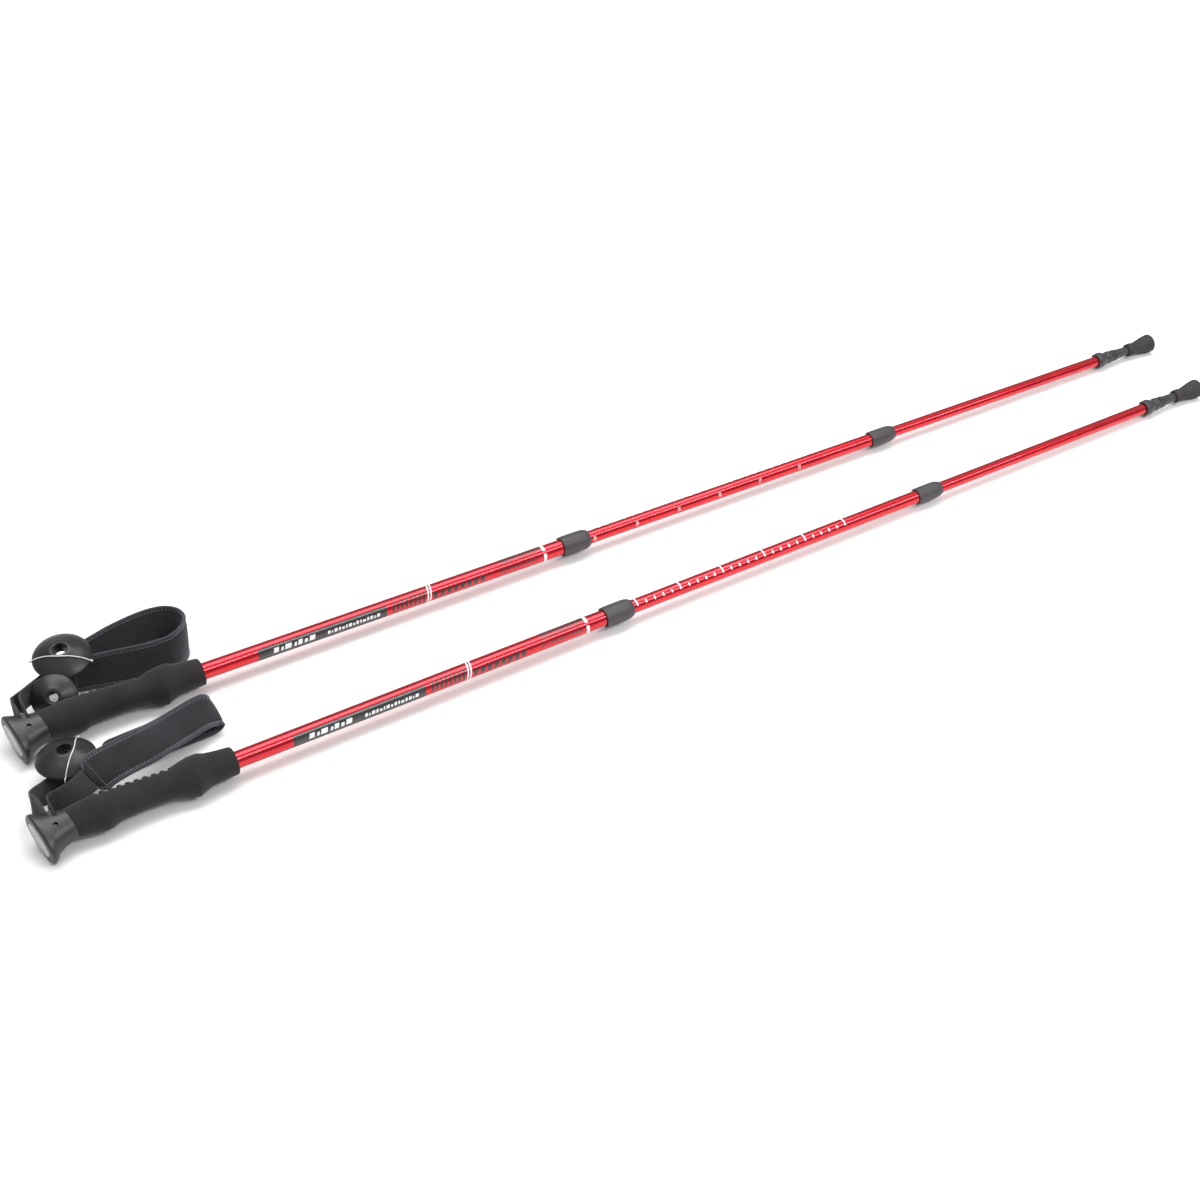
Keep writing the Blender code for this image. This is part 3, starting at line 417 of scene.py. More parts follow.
class Build:
    """Collects lofts into one list of vertices, faces, UVs and material numbers."""

    def __init__(self):
        self.verts, self.faces, self.uvs, self.mats = [], [], [], []

    def loft(self, rings, caps=False, cyclic=False, mat=0, along=None):
        """Joins rings end to end; caps closes both ends, cyclic joins the last ring to the first."""
        base, count = len(self.verts), len(rings[0])
        for one in rings:
            self.verts.extend(one)
        if along is None:
            along = [0.0]
            for p, q in zip(rings, rings[1:]):
                along.append(along[-1] + (Vector(p[0]) - Vector(q[0])).length)
        around = [0.0]
        widest = max(rings, key=lambda r: sum((Vector(r[i]) - Vector(r[i - 1])).length for i in range(count)))
        for i in range(count):
            around.append(around[-1] + (Vector(widest[i]) - Vector(widest[(i + 1) % count])).length)
        total = len(rings)
        for k in range(total if cyclic else total - 1):
            k2 = (k + 1) % total
            v0, v1 = along[k], along[k + 1] if k + 1 < len(along) else along[k] + 1.0
            for i in range(count):
                j = (i + 1) % count
                self.faces.append((base + k * count + i, base + k * count + j, base + k2 * count + j,
                                   base + k2 * count + i))
                self.uvs.append(((v0, around[i]), (v0, around[i + 1]), (v1, around[i + 1]), (v1, around[i])))
                self.mats.append(mat)
        if caps:
            for k in (0, total - 1):
                self.faces.append(tuple(base + k * count + i for i in range(count)))
                self.uvs.append(tuple((rings[k][i][1], rings[k][i][2]) for i in range(count)))
                self.mats.append(mat)

    def box(self, low, high):
        base = len(self.verts)
        self.verts.extend((x, y, z) for z in (low[2], high[2])
                          for x, y in ((low[0], low[1]), (high[0], low[1]), (high[0], high[1]), (low[0], high[1])))
        for quad in ((0, 1, 2, 3), (4, 5, 6, 7), (0, 1, 5, 4), (1, 2, 6, 5), (2, 3, 7, 6), (3, 0, 4, 7)):
            self.faces.append(tuple(base + i for i in quad))
            self.uvs.append(((0, 0), (1, 0), (1, 1), (0, 1)))
            self.mats.append(0)

    def fine(self, part, mat, tag, body="handle", place=POLE, **more):
        """The fine piece of the node of that name, in the material and slot of that name."""
        return self.done(f"{part}_fine_{tag}", M[mat], place[tag], f"{body}_{tag}", slot=mat, node=f"{part}_{tag}",
                         **more)

    def done(self, name, mat, place, body, **more):
        return piece(name, self.verts, self.faces, mat, place, body, uvs=self.uvs,
                     mats=self.mats if isinstance(mat, (list, tuple)) else None, **more)


def circle(x, radius, count):
    step = 2 * math.pi / count
    return [(x, radius * math.cos(i * step), radius * math.sin(i * step)) for i in range(count)]


def rounded(profile, size=0.4, closed=True):
    """Rounds the corners of a profile of (x, radius) points."""
    result, count = [], len(profile)
    for i, point in enumerate(profile):
        before, after = profile[i - 1], profile[(i + 1) % count]
        here = Vector(point)
        if not closed and i in (0, count - 1):
            result.append(here)
            continue
        back, ahead = Vector(before) - here, Vector(after) - here
        if back.length < 1e-6 or ahead.length < 1e-6:
            continue
        bend = back.angle(ahead)
        if bend > math.radians(160):
            result.append(here)
            continue
        cut = min(size, back.length * 0.42, ahead.length * 0.42)
        start, end = here + back.normalized() * cut, here + ahead.normalized() * cut
        for t in (0.0, 0.33, 0.67, 1.0):
            result.append(start * (1 - t) ** 2 + here * 2 * t * (1 - t) + end * t ** 2)
    return [(v.x, v.y) for v in result]


def turned(build, profile, count, size):
    build.loft([circle(x, r, count) for x, r in rounded(profile, size)], cyclic=True)


def rod(build, profile, count, size):
    build.loft([circle(x, r, count) for x, r in rounded(profile, size, False)], caps=True)


def spline(points, steps):
    """A smooth curve through the points (Catmull-Rom), with steps points on each stretch."""
    ends = [points[0] * 2 - points[1]] + list(points) + [points[-1] * 2 - points[-2]]
    curve = []
    for k in range(1, len(ends) - 2):
        a, b, c, d = ends[k - 1:k + 3]
        for i in range(steps):
            t = i / steps
            curve.append(0.5 * (2 * b + (c - a) * t + (2 * a - 5 * b + 4 * c - d) * t ** 2
                                + (3 * b - a - 3 * c + d) * t ** 3))
    curve.append(points[-1].copy())
    return curve


def oval(x, beak, strap, half, shear, count, square=2.3):
    """A handle section: from -beak to +strap along Y, with its X slanting by shear along Y."""
    points = []
    middle, reach = (strap - beak) / 2, (strap + beak) / 2
    for i in range(count):
        angle = 2 * math.pi * i / count
        c, s = math.cos(angle), math.sin(angle)
        y = middle + reach * math.copysign(abs(c) ** (2 / square), c)
        z = half * math.copysign(abs(s) ** (2 / square), s)
        points.append((x + shear * y, y, z))
    return points


def inset(section, along, by, count, square=2.3):
    """A handle section moved along the pole and drawn in all round."""
    return oval(section[0] + along, *(reach - by for reach in section[1:4]), section[4], count, square)


def smooth_sections(sections, steps):
    """Sections between those given, on a smooth curve that doesn't swing past them."""
    result = []
    count = len(sections)
    slopes = []
    for i in range(count):
        row = []
        for k in range(5):
            if i in (0, count - 1):
                j = 0 if i == 0 else count - 2
                row.append((sections[j + 1][k] - sections[j][k]) / (sections[j + 1][0] - sections[j][0]))
                continue
            left = (sections[i][k] - sections[i - 1][k]) / (sections[i][0] - sections[i - 1][0])
            right = (sections[i + 1][k] - sections[i][k]) / (sections[i + 1][0] - sections[i][0])
            row.append(0.0 if left * right <= 0 else 2 * left * right / (left + right))
        slopes.append(row)
    for i in range(count - 1):
        h = sections[i + 1][0] - sections[i][0]
        for j in range(steps):
            t = j / steps
            row = []
            for k in range(5):
                p, q = sections[i][k], sections[i + 1][k]
                m, n = slopes[i][k] * h, slopes[i + 1][k] * h
                row.append((2 * t ** 3 - 3 * t ** 2 + 1) * p + (t ** 3 - 2 * t ** 2 + t) * m
                           + (3 * t ** 2 - 2 * t ** 3) * q + (t ** 3 - t ** 2) * n)
            result.append(tuple(row))
    result.append(tuple(sections[-1]))
    return result


def capsule(build, centre, along, up, length, radius, mat=0):
    """A short thread stitch."""
    along, up = along.normalized(), up.normalized()
    side = along.cross(up).normalized()
    rings = []
    for t, r in ((-0.5, 0.35), (-0.36, 0.85), (0.0, 1.0), (0.36, 0.85), (0.5, 0.35)):
        middle = centre + along * (t * length) - up * (radius * 0.9 * (2 * t) ** 2)
        rings.append([tuple(middle + (side * math.cos(a) + up * math.sin(a)) * radius * r)
                      for a in (math.pi * k / 3 for k in range(6))])
    build.loft(rings, caps=True, mat=mat)


def apply_cuts(obj, cutters):
    """Cuts obj by closed meshes and keeps the result as its mesh."""
    for cutter in cutters:
        modifier = obj.modifiers.new("cut", "BOOLEAN")
        modifier.operation, modifier.object, modifier.solver = "DIFFERENCE", cutter, "EXACT"
    graph = bpy.context.evaluated_depsgraph_get()
    mesh = bpy.data.meshes.new_from_object(obj.evaluated_get(graph))
    obj.modifiers.clear()
    obj.data = mesh
    mesh.shade_smooth()
    mesh.set_sharp_from_angle(angle=math.radians(32))
    for cutter in cutters:
        bpy.data.objects.remove(cutter, do_unlink=True)


# ---- handle: head, cap, pin, wedge, foam ------------------------------------------------------
def grip_head(tag):
    count = 80
    place = GRIP[tag]
    sections = smooth_sections(HEAD_SECTIONS, 6)
    outer = [oval(*section, count) for section in sections]
    lip = HEAD_SECTIONS[0]
    shoulder = HEAD_SECTIONS[-1]
    rim = [inset(lip, -0.05, 1.2, count), inset(lip, 0.05, 0.4, count)]
    neck = [oval(27.4, 12.0, 14.2, 11.8, -0.19, count, 2.2),
            oval(shoulder[0] + 0.1, HEAD_NECK_R, HEAD_NECK_R, HEAD_NECK_R, shoulder[4], count, 2.0),
            circle(HEAD_NECK_END, HEAD_NECK_R, count)]
    bore = [circle(HEAD_NECK_END, UPPER_R + GAP, count), circle(20.7, UPPER_R + GAP, count), circle(20.7, 4.0, count)]
    x, slant = lip[0], lip[4]
    well = [oval(x + CAP_DEPTH, CAP_BEAK - 1.5, CAP_STRAP - 1.5, CAP_HALF - 1.5, slant, count),
            oval(x + CAP_DEPTH, CAP_BEAK + GAP, CAP_STRAP + GAP, CAP_HALF + GAP, slant, count),
            oval(x + 0.25, CAP_BEAK + GAP, CAP_STRAP + GAP, CAP_HALF + GAP, slant, count),
            oval(x, CAP_BEAK + 0.55, CAP_STRAP + 0.55, CAP_HALF + 0.55, slant, count)]
    b = Build()
    b.loft(well + rim + outer[1:-1] + [outer[-1]] + neck[1:] + bore, caps=True)
    head = b.fine("grip_head", "grip_plastic", tag, place=GRIP, sharp=32)
    half = PIN_R + WEBBING_THICK + 2 * GAP + 0.2
    slot = Build()
    slot.box((PIN_X - half, -half - 0.4, -11.8), (PIN_X + half, 30.0, 11.8))
    hole = Build()
    hole.loft([circle(-20.0, PIN_R + 0.15, 36), circle(20.0, PIN_R + 0.15, 36)], caps=True)
    apply_cuts(head, [slot.done("slot_cut", M["grip_plastic"], place, None),
                      hole.done("hole_cut", M["grip_plastic"], place @ PIN_TURN, None)])
    bevel = head.modifiers.new("soft_edges", "BEVEL")
    bevel.width, bevel.segments, bevel.limit_method, bevel.angle_limit = 0.00025, 2, "ANGLE", math.radians(50)
    bevel.use_clamp_overlap = True


def head_cap(tag):
    """The pale oval insert, with a raised border and a plain field."""
    count = 80
    x, slant = HEAD_SECTIONS[0][0], HEAD_SECTIONS[0][4]

    def ring(at, inset):
        return oval(x + at, CAP_BEAK - inset, CAP_STRAP - inset, CAP_HALF - inset, slant, count)

    b = Build()
    b.loft([ring(CAP_DEPTH - GAP, 0.4), ring(0.1, 0.0), ring(-0.35, 0.15), ring(-0.62, 0.6), ring(-0.7, 1.4),
            ring(-0.68, 2.1), ring(-0.42, 2.4), ring(-0.36, 2.9), ring(-0.4, 5.0), ring(-0.44, 7.4)], caps=True)
    b.fine("head_cap", "cap_plastic", tag, place=GRIP)


def strap_pin(tag):
    b = Build()
    rod(b, [(-11.2, 1.0), (-11.2, 1.5), (-10.6, PIN_R), (10.6, PIN_R), (11.2, 1.5), (11.2, 1.0)], 32, 0.2)
    # the pin's ends take the near-black steel, painted shade standing for the dark hole round them
    b.done("strap_pin_fine_" + tag, M["painted_shade_steel"], GRIP[tag] @ PIN_TURN, "handle_" + tag, slot="steel",
           node="strap_pin_" + tag)


def notch(s):
    """Finger notches: 0 between them, 1 at the bottom of each."""
    if not 55.0 < s < 124.0:
        return 0.0
    phase = ((s - 55.0) % 7.7) / 7.7
    return max(0.0, math.sin(math.pi * phase)) ** 0.55 if phase < 0.62 else 0.0


def foam_grip(tag):
    """The foam sleeve, smooth, with notches for the fingers on the strap's side."""
    count = 96
    base = smooth_sections(FOAM_SECTIONS, 5)
    stations = []
    x = FOAM_SECTIONS[0][0]
    k = 0
    while x < FOAM_SECTIONS[-1][0]:
        while base[k + 1][0] < x:
            k += 1
        t = (x - base[k][0]) / (base[k + 1][0] - base[k][0])
        stations.append(tuple(p + (q - p) * t for p, q in zip(base[k], base[k + 1])))
        x += 0.7 if 54.0 < x < 125.0 else 1.5
    stations.append(FOAM_SECTIONS[-1])
    first = stations[0]
    rings = [inset(first, 0.05, 0.9, count, 2.0), inset(first, 0.1, 0.3, count, 2.0)]
    for row in stations:
        ring = []
        cut = notch(row[0])
        for i, (px, py, pz) in enumerate(oval(*row, count, 2.0)):
            c = math.cos(2 * math.pi * i / count)
            if cut > 0 and c > 0.6:
                edge = min(1.0, (c - 0.6) / 0.12)
                pull = (1.55 if tag == "b" else 0.7) * cut * edge * edge * (3 - 2 * edge)
                py, pz = py - pull * c, pz * (1 - 0.05 * pull)
            ring.append((px, py, pz))
        rings.append(ring)
    rings += [oval(177.3, 12.2, 13.1, 12.5, 0, count, 2.0), oval(177.85, 11.8, 12.7, 12.1, 0, count, 2.0),
              oval(FOAM_END, 11.0, 11.8, 11.3, 0, count, 2.0)]
    inner = [circle(FOAM_END, UPPER_R + 0.35, count), circle(HEAD_NECK_END + GAP, UPPER_R + 0.35, count),
             circle(HEAD_NECK_END + GAP, HEAD_NECK_R + GAP, count),
             oval(first[0] + 0.1, HEAD_NECK_R + GAP, HEAD_NECK_R + GAP, HEAD_NECK_R + GAP, first[4], count, 2.0)]
    b = Build()
    b.loft(rings + inner, cyclic=True)
    b.fine("foam_grip", "foam", tag, place=GRIP, sharp=45)


# ---- wrist strap -------------------------------------------------------------------------------
def slot_stations():
    turn = PIN_R + GAP + WEBBING_THICK / 2
    stations = [(Vector((PIN_X - turn, 0, 0)) + STRAP_SIDE * depth, Vector((-1, 0, 0))) for depth in (18.5, 9.0, 1.0)]
    for angle in (45, 90, 135):
        c, s = math.cos(math.radians(angle)), math.sin(math.radians(angle))
        normal = Vector((-c, 0, 0)) - STRAP_SIDE * s
        stations.append((Vector((PIN_X, 0, 0)) + normal * turn, normal))
    stations += [(Vector((PIN_X + turn, 0, 0)) + STRAP_SIDE * depth, Vector((1, 0, 0))) for depth in (1.0, 9.0, 18.5)]
    return stations


def frames_along(stations, step):
    """Points every step millimetres on the band's line: (place, across, outward, distance)."""
    dense = 40
    places = spline([Vector(p) for p, _ in stations], dense)
    outward = spline([Vector(n) for _, n in stations], dense)
    length = [0.0]
    for p, q in zip(places, places[1:]):
        length.append(length[-1] + (q - p).length)
    total = length[-1]
    count = max(2, int(round(total / step)))
    result, k = [], 0
    for i in range(count + 1):
        at = total * i / count
        while k < len(length) - 2 and length[k + 1] < at:
            k += 1
        t = (at - length[k]) / max(1e-9, length[k + 1] - length[k])
        place = places[k].lerp(places[k + 1], t)
        out = outward[k].lerp(outward[k + 1], t)
        ahead = places[min(k + 6, len(places) - 1)] - places[max(k - 5, 0)]
        across = ahead.cross(out).normalized()
        result.append((place, across, across.cross(ahead).normalized(), at))
    return result, total


def strap_webbing(tag):
    """Ribbed webbing with a woven edge: a rib every WEBBING_RIB."""
    route = STRAPS[tag]
    pad = [(Vector(p), Vector(n)) for p, n in route["pad"]]
    first, last = pad[0], pad[-1]
    into_first = (first[0].lerp(pad[1][0], 0.5), first[1].lerp(pad[1][1], 0.5))
    into_last = (last[0].lerp(pad[-2][0], 0.4), last[1].lerp(pad[-2][1], 0.4))
    line, _ = frames_along([into_last, last] + route["far_tail"] + slot_stations() + route["near_tail"]
                           + [first, into_first], 0.3)
    half, thick = WEBBING_WIDTH / 2 - 0.05, WEBBING_THICK / 2
    corner = [(1, 0), (0.985, 0.62), (0.93, 0.9), (0.86, 1), (0.45, 1), (0, 1)]
    top = corner + [(-u, v) for u, v in corner[-2::-1]]
    section = top + [(-u, -v) for u, v in top[1:-1]]
    rings, along = [], []
    for place, across, out, at in line:
        rib = (0.5 + 0.5 * math.cos(2 * math.pi * at / WEBBING_RIB)) ** 1.6
        ring = []
        for u, v in section:
            deep = 0.42 if abs(u) < WEBBING_SELVEDGE else 0.14
            lift = thick * v * (1.0 - deep * rib)
            ring.append(tuple(place + across * (half * u) + out * lift))
        rings.append(ring)
        along.append(at)
    b = Build()
    b.loft(rings, caps=True, along=along)
    b.done("webbing_fine_" + tag, M["webbing"], POLE[tag], "handle_" + tag, slot="webbing",
           node="strap_webbing_" + tag, sharp=60)


def pad_half_width(at, total):
    reach, corner = min(at, total - at), 10.0
    if reach >= corner:
        return PAD_WIDTH / 2
    return PAD_WIDTH / 2 - corner + math.sqrt(max(0.0, corner ** 2 - (corner - reach) ** 2))


def strap_pad(tag):
    """A padded band: a crowned middle, a sewn channel near each edge, and a bound, piped rim."""
    line, total = frames_along(STRAPS[tag]["pad"], 0.4)
    crown, waist, bead = PAD_THICK / 2, 0.82, 1.5
    b, seam = Build(), Build()
    rings, along = [], []
    side_u = (0.0, 0.2, 0.4, 0.56, 0.66, 0.72, 0.76, 0.80, 0.86, 0.93, 0.97, 1.0)
    quarters = ((1, 1, side_u), (1, -1, side_u[-2::-1]), (-1, -1, side_u[1:]), (-1, 1, side_u[-2:0:-1]))

    def face(u, at):
        """Half thickness at u, from 0 in the middle to 1 at the edge."""
        if u < 0.72:
            swell = math.cos(min(1.0, u / 0.72) * math.pi / 2) ** 0.42
            puff = 0.06 * math.sin(at * 0.21 + 1.3) * math.sin(at * 0.083) + 0.03 * math.sin(at * 0.47 + u * 5)
            ribs = 0.0 if at > 42.0 or u > 0.62 else 0.2 * (0.5 + 0.5 * math.cos(2 * math.pi * at / WEBBING_RIB))
            return waist + (crown - waist) * swell * (0.97 + puff) - ribs
        if u < 0.80:
            return waist
        t = (u - 0.80) / 0.20
        closing = math.sqrt(max(0.0, 1 - max(0.0, (t - 0.62) / 0.38) ** 2))
        return (waist + (bead - waist) * math.sin(t * math.pi * 0.62)) * closing

    for place, across, out, at in line:
        reach = min(at, total - at)
        half = pad_half_width(at, total) - 0.05
        end = 1.0 if reach > 4.0 else 0.8 + 0.2 * math.sin(reach / 4.0 * math.pi / 2)
        ring = [tuple(place + across * (side * half * u) + out * (turn * face(u, at) * end))
                for side, turn, reach_out in quarters for u in reach_out]
        rings.append(ring)
        along.append(at)
    b.loft(rings, caps=True, along=along)
    n = len(rings[0])
    # the binding tape is the outermost part of each ring; its lighter knit is a painted highlight along the piped rim
    middle, centre, sideways = rings[len(rings) // 2], line[len(line) // 2][0], line[len(line) // 2][1]
    bound = {i for i in range(n) if abs((Vector(middle[i]) - centre).dot(sideways)) > 0.79 * (PAD_WIDTH / 2)}
    for f, quad in enumerate(b.faces):
        if len(quad) == 4 and all((v % n) in bound for v in quad):
            b.mats[f] = 1
    pad = b.done("pad_fine_" + tag, [M["pad_fabric"], M["binding"]], POLE[tag], "handle_" + tag, slot="pad_fabric",
                 node="strap_pad_" + tag, sharp=70)
    # two rows of lock stitches on each face, and a row across each end
    for row in range(int((total - 2 * STITCH_START) / STITCH_PITCH)):
        at = STITCH_START + row * STITCH_PITCH
        k = min(len(line) - 2, int(at / total * (len(line) - 1)))
        place, across, out, here = line[k]
        ahead = line[min(k + 1, len(line) - 1)][0] - line[max(k - 1, 0)][0]
        half = pad_half_width(here, total)
        for u in (-0.765, 0.765):
            for turn in (1, -1):
                centre = place + across * (half * u) + out * (turn * (waist + 0.12))
                capsule(seam, centre, ahead, out * turn, 2.2, 0.34)
    for end_at in (6.5, total - 6.5):
        k = min(len(line) - 2, int(end_at / total * (len(line) - 1)))
        place, across, out, here = line[k]
        for j in range(-4, 5):
            for turn in (1, -1):
                lift = face(abs(j * 2.9) / (PAD_WIDTH / 2), here)
                capsule(seam, place + across * (j * 2.9) + out * (turn * (lift + 0.02)), across, out * turn, 2.2, 0.3)
    # short bar tacks down pad A's upper edge, where the webbing is sewn in
    for row in range(BAR_TACKS[tag]):
        at = 5.0 + row * BAR_TACK_PITCH
        k = min(len(line) - 2, int(at / total * (len(line) - 1)))
        place, across, out, here = line[k]
        upward = 1.0 if across.z > 0 else -1.0
        half = pad_half_width(here, total)
        for turn in (1, -1):
            centre = place + across * (upward * half * 0.66) + out * (turn * (face(0.66, here) + 0.12))
            capsule(seam, centre, across, out * turn, 3.6, 0.5, mat=1)
    seam.done("pad_stitches_" + tag, [M["thread"], M["bar_thread"]], POLE[tag], "handle_" + tag, slot="pad_fabric",
              sharp=80)


# ---- tubes and their print ---------------------------------------------------------------------
def tube(part, tag):
    start, end, radius, body = TUBES[part]
    b = Build()
    count, steps, break_edge = 80, 40, 0.12
    inner = radius - WALL
    profile = [(start, inner + 0.15), (start, radius - break_edge), (start + break_edge, radius)]
    profile += [(start + break_edge + (end - start - 2 * break_edge) * i / steps, radius) for i in range(1, steps)]
    profile += [(end - break_edge, radius), (end, radius - break_edge), (end, inner + 0.15), (end - 0.15, inner),
                (start + 0.15, inner)]
    b.loft([circle(x, r, count) for x, r in profile], cyclic=True)
    b.fine(part + "_tube", "red_tube", tag, body, sharp=30)


CAMERA_SIDE = math.atan2(0.66, -0.75)   # the direction round the tube that faces the camera


def patch(build, radius, s0, s1, a0, a1, slant=0.0, mat=0, lift=0.035):
    """A thin printed field: from s0 to s1 along the tube, and a0 to a1 degrees round it from the
    side that faces the camera, positive upwards; slant moves it along by that much per 90 degrees."""
    steps = max(2, int(abs(a1 - a0) / 5.0) + 1)
    low, high = [], []
    for i in range(steps + 1):
        a = a0 + (a1 - a0) * i / steps
        angle = CAMERA_SIDE - math.radians(a)
        y, z = math.cos(angle) * (radius + lift), math.sin(angle) * (radius + lift)
        shift = slant * a / 90.0
        low.append((s0 + shift, y, z))
        high.append((s1 + shift, y, z))
    base = len(build.verts)
    build.verts.extend(low + high)
    n = len(low)
    for i in range(n - 1):
        build.faces.append((base + i, base + i + 1, base + n + i + 1, base + n + i))
        build.uvs.append(((s0, i), (s0, i + 1), (s1, i + 1), (s1, i)))
        build.mats.append(mat)


def deg(sine):
    return math.degrees(math.asin(max(-1.0, min(1.0, sine))))


def upper_print(tag):
    """The upper tube's decoration: a black label with abstract bars, slanted blocks, a double
    slash, a hatched block and a broken ring.  No lettering."""
    r = UPPER_R
    b = Build()
    BLACK, WHITE, DARKRED = 0, 1, 2
    patch(b, r, 232.0, 365.0, -100.0, deg(0.23), 1.5, BLACK)
    # abstract white bars where a label's wording would be
    widths = (7.0, 3.2, 9.0, 3.2, 6.0, 4.4, 8.0)
    s = 248.0
    for k, w in enumerate(widths):
        a_top = deg(-0.2) if k % 2 == 0 else deg(-0.34)
        patch(b, r, s, s + w * 0.72, deg(-0.72), a_top, 3.2, WHITE, 0.06)
        s += w + 0.6
    s = 303.0
    for k in range(15):
        w = (2.6, 1.4, 3.2, 2.0)[k % 4]
        patch(b, r, s, s + w, deg(-0.7), deg(-0.36 - 0.1 * (k % 3 == 1)), 2.4, WHITE, 0.06)
        s += w + 1.4
    # a thin dark line above, bending down at its end
    patch(b, r, 232.0, 470.0, deg(0.555), deg(0.60), 0.0, DARKRED)
    patch(b, r, 470.0, 471.4, deg(0.30), deg(0.60), 2.0, DARKRED)
    # slanted bars
    for k in range(8):
        s = 371.0 + 4.65 * k
        patch(b, r, s, s + 2.7, deg(-0.78), deg(0.33), 3.0, BLACK)
    # the double slash right round the tube
    for s in (408.6, 411.6):
        patch(b, r, s, s + 1.5, -110.0, 120.0, 2.9, WHITE, 0.05)
    for k in range(8):
        s = 415.5 + 7.35 * k
        patch(b, r, s, s + 4.7, deg(-0.78), deg(-0.12), 3.4, BLACK)
    patch(b, r, 476.4, 477.6, deg(-0.5), deg(-0.2), 2.0, BLACK)
    # hatching above and small dashes below
    for k in range(14):
        s = 490.7 + 3.4 * k
        patch(b, r, s, s + 2.0, deg(0.34), 96.0, 0.0, BLACK)
    for k in range(23):
        s = 487.5 + 2.0 * k
        patch(b, r, s, s + 1.2, deg(-0.62), deg(-0.24), 1.2, DARKRED)
    # a broken white ring
    patch(b, r, 537.2, 540.4, deg(0.22), 118.0, 0.0, WHITE)
    patch(b, r, 537.2, 540.4, -112.0, deg(-0.16), 0.0, WHITE)
    mats = [M["ink_black"], M["ink_white"], M["ink_dark"]]
    b.done("upper_print_" + tag, mats, POLE[tag], "handle_" + tag, slot="red_tube", outward=False)


SEGMENTS_OF = {"0": "abcdef", "1": "bc", "2": "abged", "3": "abgcd", "4": "fgbc", "5": "afgcd", "6": "afgedc",
               "7": "abc", "8": "abcdefg", "9": "abcfgd"}


def digit(build, radius, char, s, a, height, width, mat):
    """A number's figure from thin strokes: its height along the tube, its width round it (degrees)."""
    w = 0.42
    wa = math.degrees(w / radius)
    top, mid, low = s, s + (height - w) / 2, s + height - w
    strokes = {"a": (top, top + w, a, a + width), "g": (mid, mid + w, a, a + width), "d": (low, low + w, a, a + width),
               "f": (top, mid + w, a, a + wa), "b": (top, mid + w, a + width - wa, a + width),
               "e": (mid, low + w, a, a + wa), "c": (mid, low + w, a + width - wa, a + width)}
    for key in SEGMENTS_OF[char]:
        s0, s1, a0, a1 = strokes[key]
        patch(build, radius, s0, s1, a0, a1, 0.0, mat, 0.045)


def middle_print(tag):
    """The length scale on the middle tube: a tick each centimetre, a long one each five, and its number."""
    r = MIDDLE_R
    b = Build()
    roll = 0.0 if tag == "b" else 71.0
    for k in range(26):
        s = 596.5 + 10.03 * k
        major = k % 5 == 0
        patch(b, r, s - 0.8, s + 0.8, roll - 9.0, roll + (85.0 if major else 20.0), 0.0, 0)
        if major:
            text = str(135 - 5 * (k // 5))
            a = roll - 126.0
            for char in text:
                digit(b, r, char, s - 1.3, a, 2.9, 12.5, 0)
                a += 17.0
    b.done("scale_print_" + tag, [M["ink_white"]], POLE[tag], "middle_" + tag, slot="red_tube", outward=False)


# ---- collars -----------------------------------------------------------------------------------
def collar(part, tag):
    """A straight-sided collar with a soft mouth and a rounded shoulder at its far end."""
    on_tube, start, end, inner, outer = COLLARS[part]
    _, tube_end, tube_radius, body = TUBES[on_tube]
    bore = tube_radius + 0.2
    mouth = [(0.0, bore), (0.0, outer - 0.55), (0.7, outer - 0.05), (3.0, outer), (12.0, outer + 0.1)]
    shoulder = [(9.0, outer + 0.05), (6.0, outer - 0.15), (4.0, outer - 0.5), (2.2, outer - 1.1), (1.0, outer - 1.8),
                (0.25, max(outer - 2.6, inner + 0.8)), (0.0, max(outer - 3.1, inner + 0.4)), (0.0, inner)]
    profile = [(start + x, r) for x, r in mouth] + [(end - x, r) for x, r in shoulder]
    b = Build()
    turned(b, profile + [(tube_end + GAP, inner), (tube_end + GAP, bore)], 96, 0.35)
    b.fine(part + "_collar", "collar_plastic", tag, body, sharp=30)


# ---- tip ---------------------------------------------------------------------------------------
def tip_adaptor(tag):
    start, end = 1264.6, 1322.0
    profile = [(start, LOWER_R + 0.2), (start, 7.6), (start + 0.8, 8.2), (1267.5, 8.5), (1271.6, 8.5), (1273.0, 8.0),
               (1275.4, 6.6), (1278.2, 5.95), (1279.5, 6.0), (1280.4, 6.75), (1284.4, 6.75), (1285.4, 5.95),
               (1286.4, 5.7), (1303.0, 5.1), (end, 4.4), (end, 2.3), (1312.0, 2.3), (1312.0, 1.2), (1280.0, 1.2),
               (1277.3, 2.6), (1277.3, LOWER_R + 0.2)]
    b = Build()
    turned(b, profile, 80, 0.3)
    # the basket's thread: two turns of a low ridge
    steps, turns = 90, 2.25
    rings = []
    for i in range(steps + 1):
        t = i / steps
        a = 2 * math.pi * turns * t
        x = 1286.5 + 8.5 * t
        fade = min(1.0, t * 8, (1 - t) * 8)
        base_r = 5.72 - (x - 1285.2) / 17.8 * 0.65
        crest = base_r + 0.75 * fade
        c, s = math.cos(a), math.sin(a)
        section = ((x - 0.95, base_r - 0.25), (x - 0.32, crest), (x + 0.32, crest), (x + 0.95, base_r - 0.25))
        rings.append([(px, rr * c, rr * s) for px, rr in section])
    b.loft(rings, caps=True)
    b.fine("tip_adaptor", "tip_plastic", tag, "lower", sharp=34)


def steel_tip(tag):
    b = Build()
    rod(b, [(1312.4, 1.4), (1312.4, 2.0), (1322.4, 2.0), (1322.4, 3.0), (1327.0, 2.8), (1330.0, 1.9), (1329.2, 0.6)],
        36, 0.2)
    b.fine("steel_tip", "steel", tag, "lower")


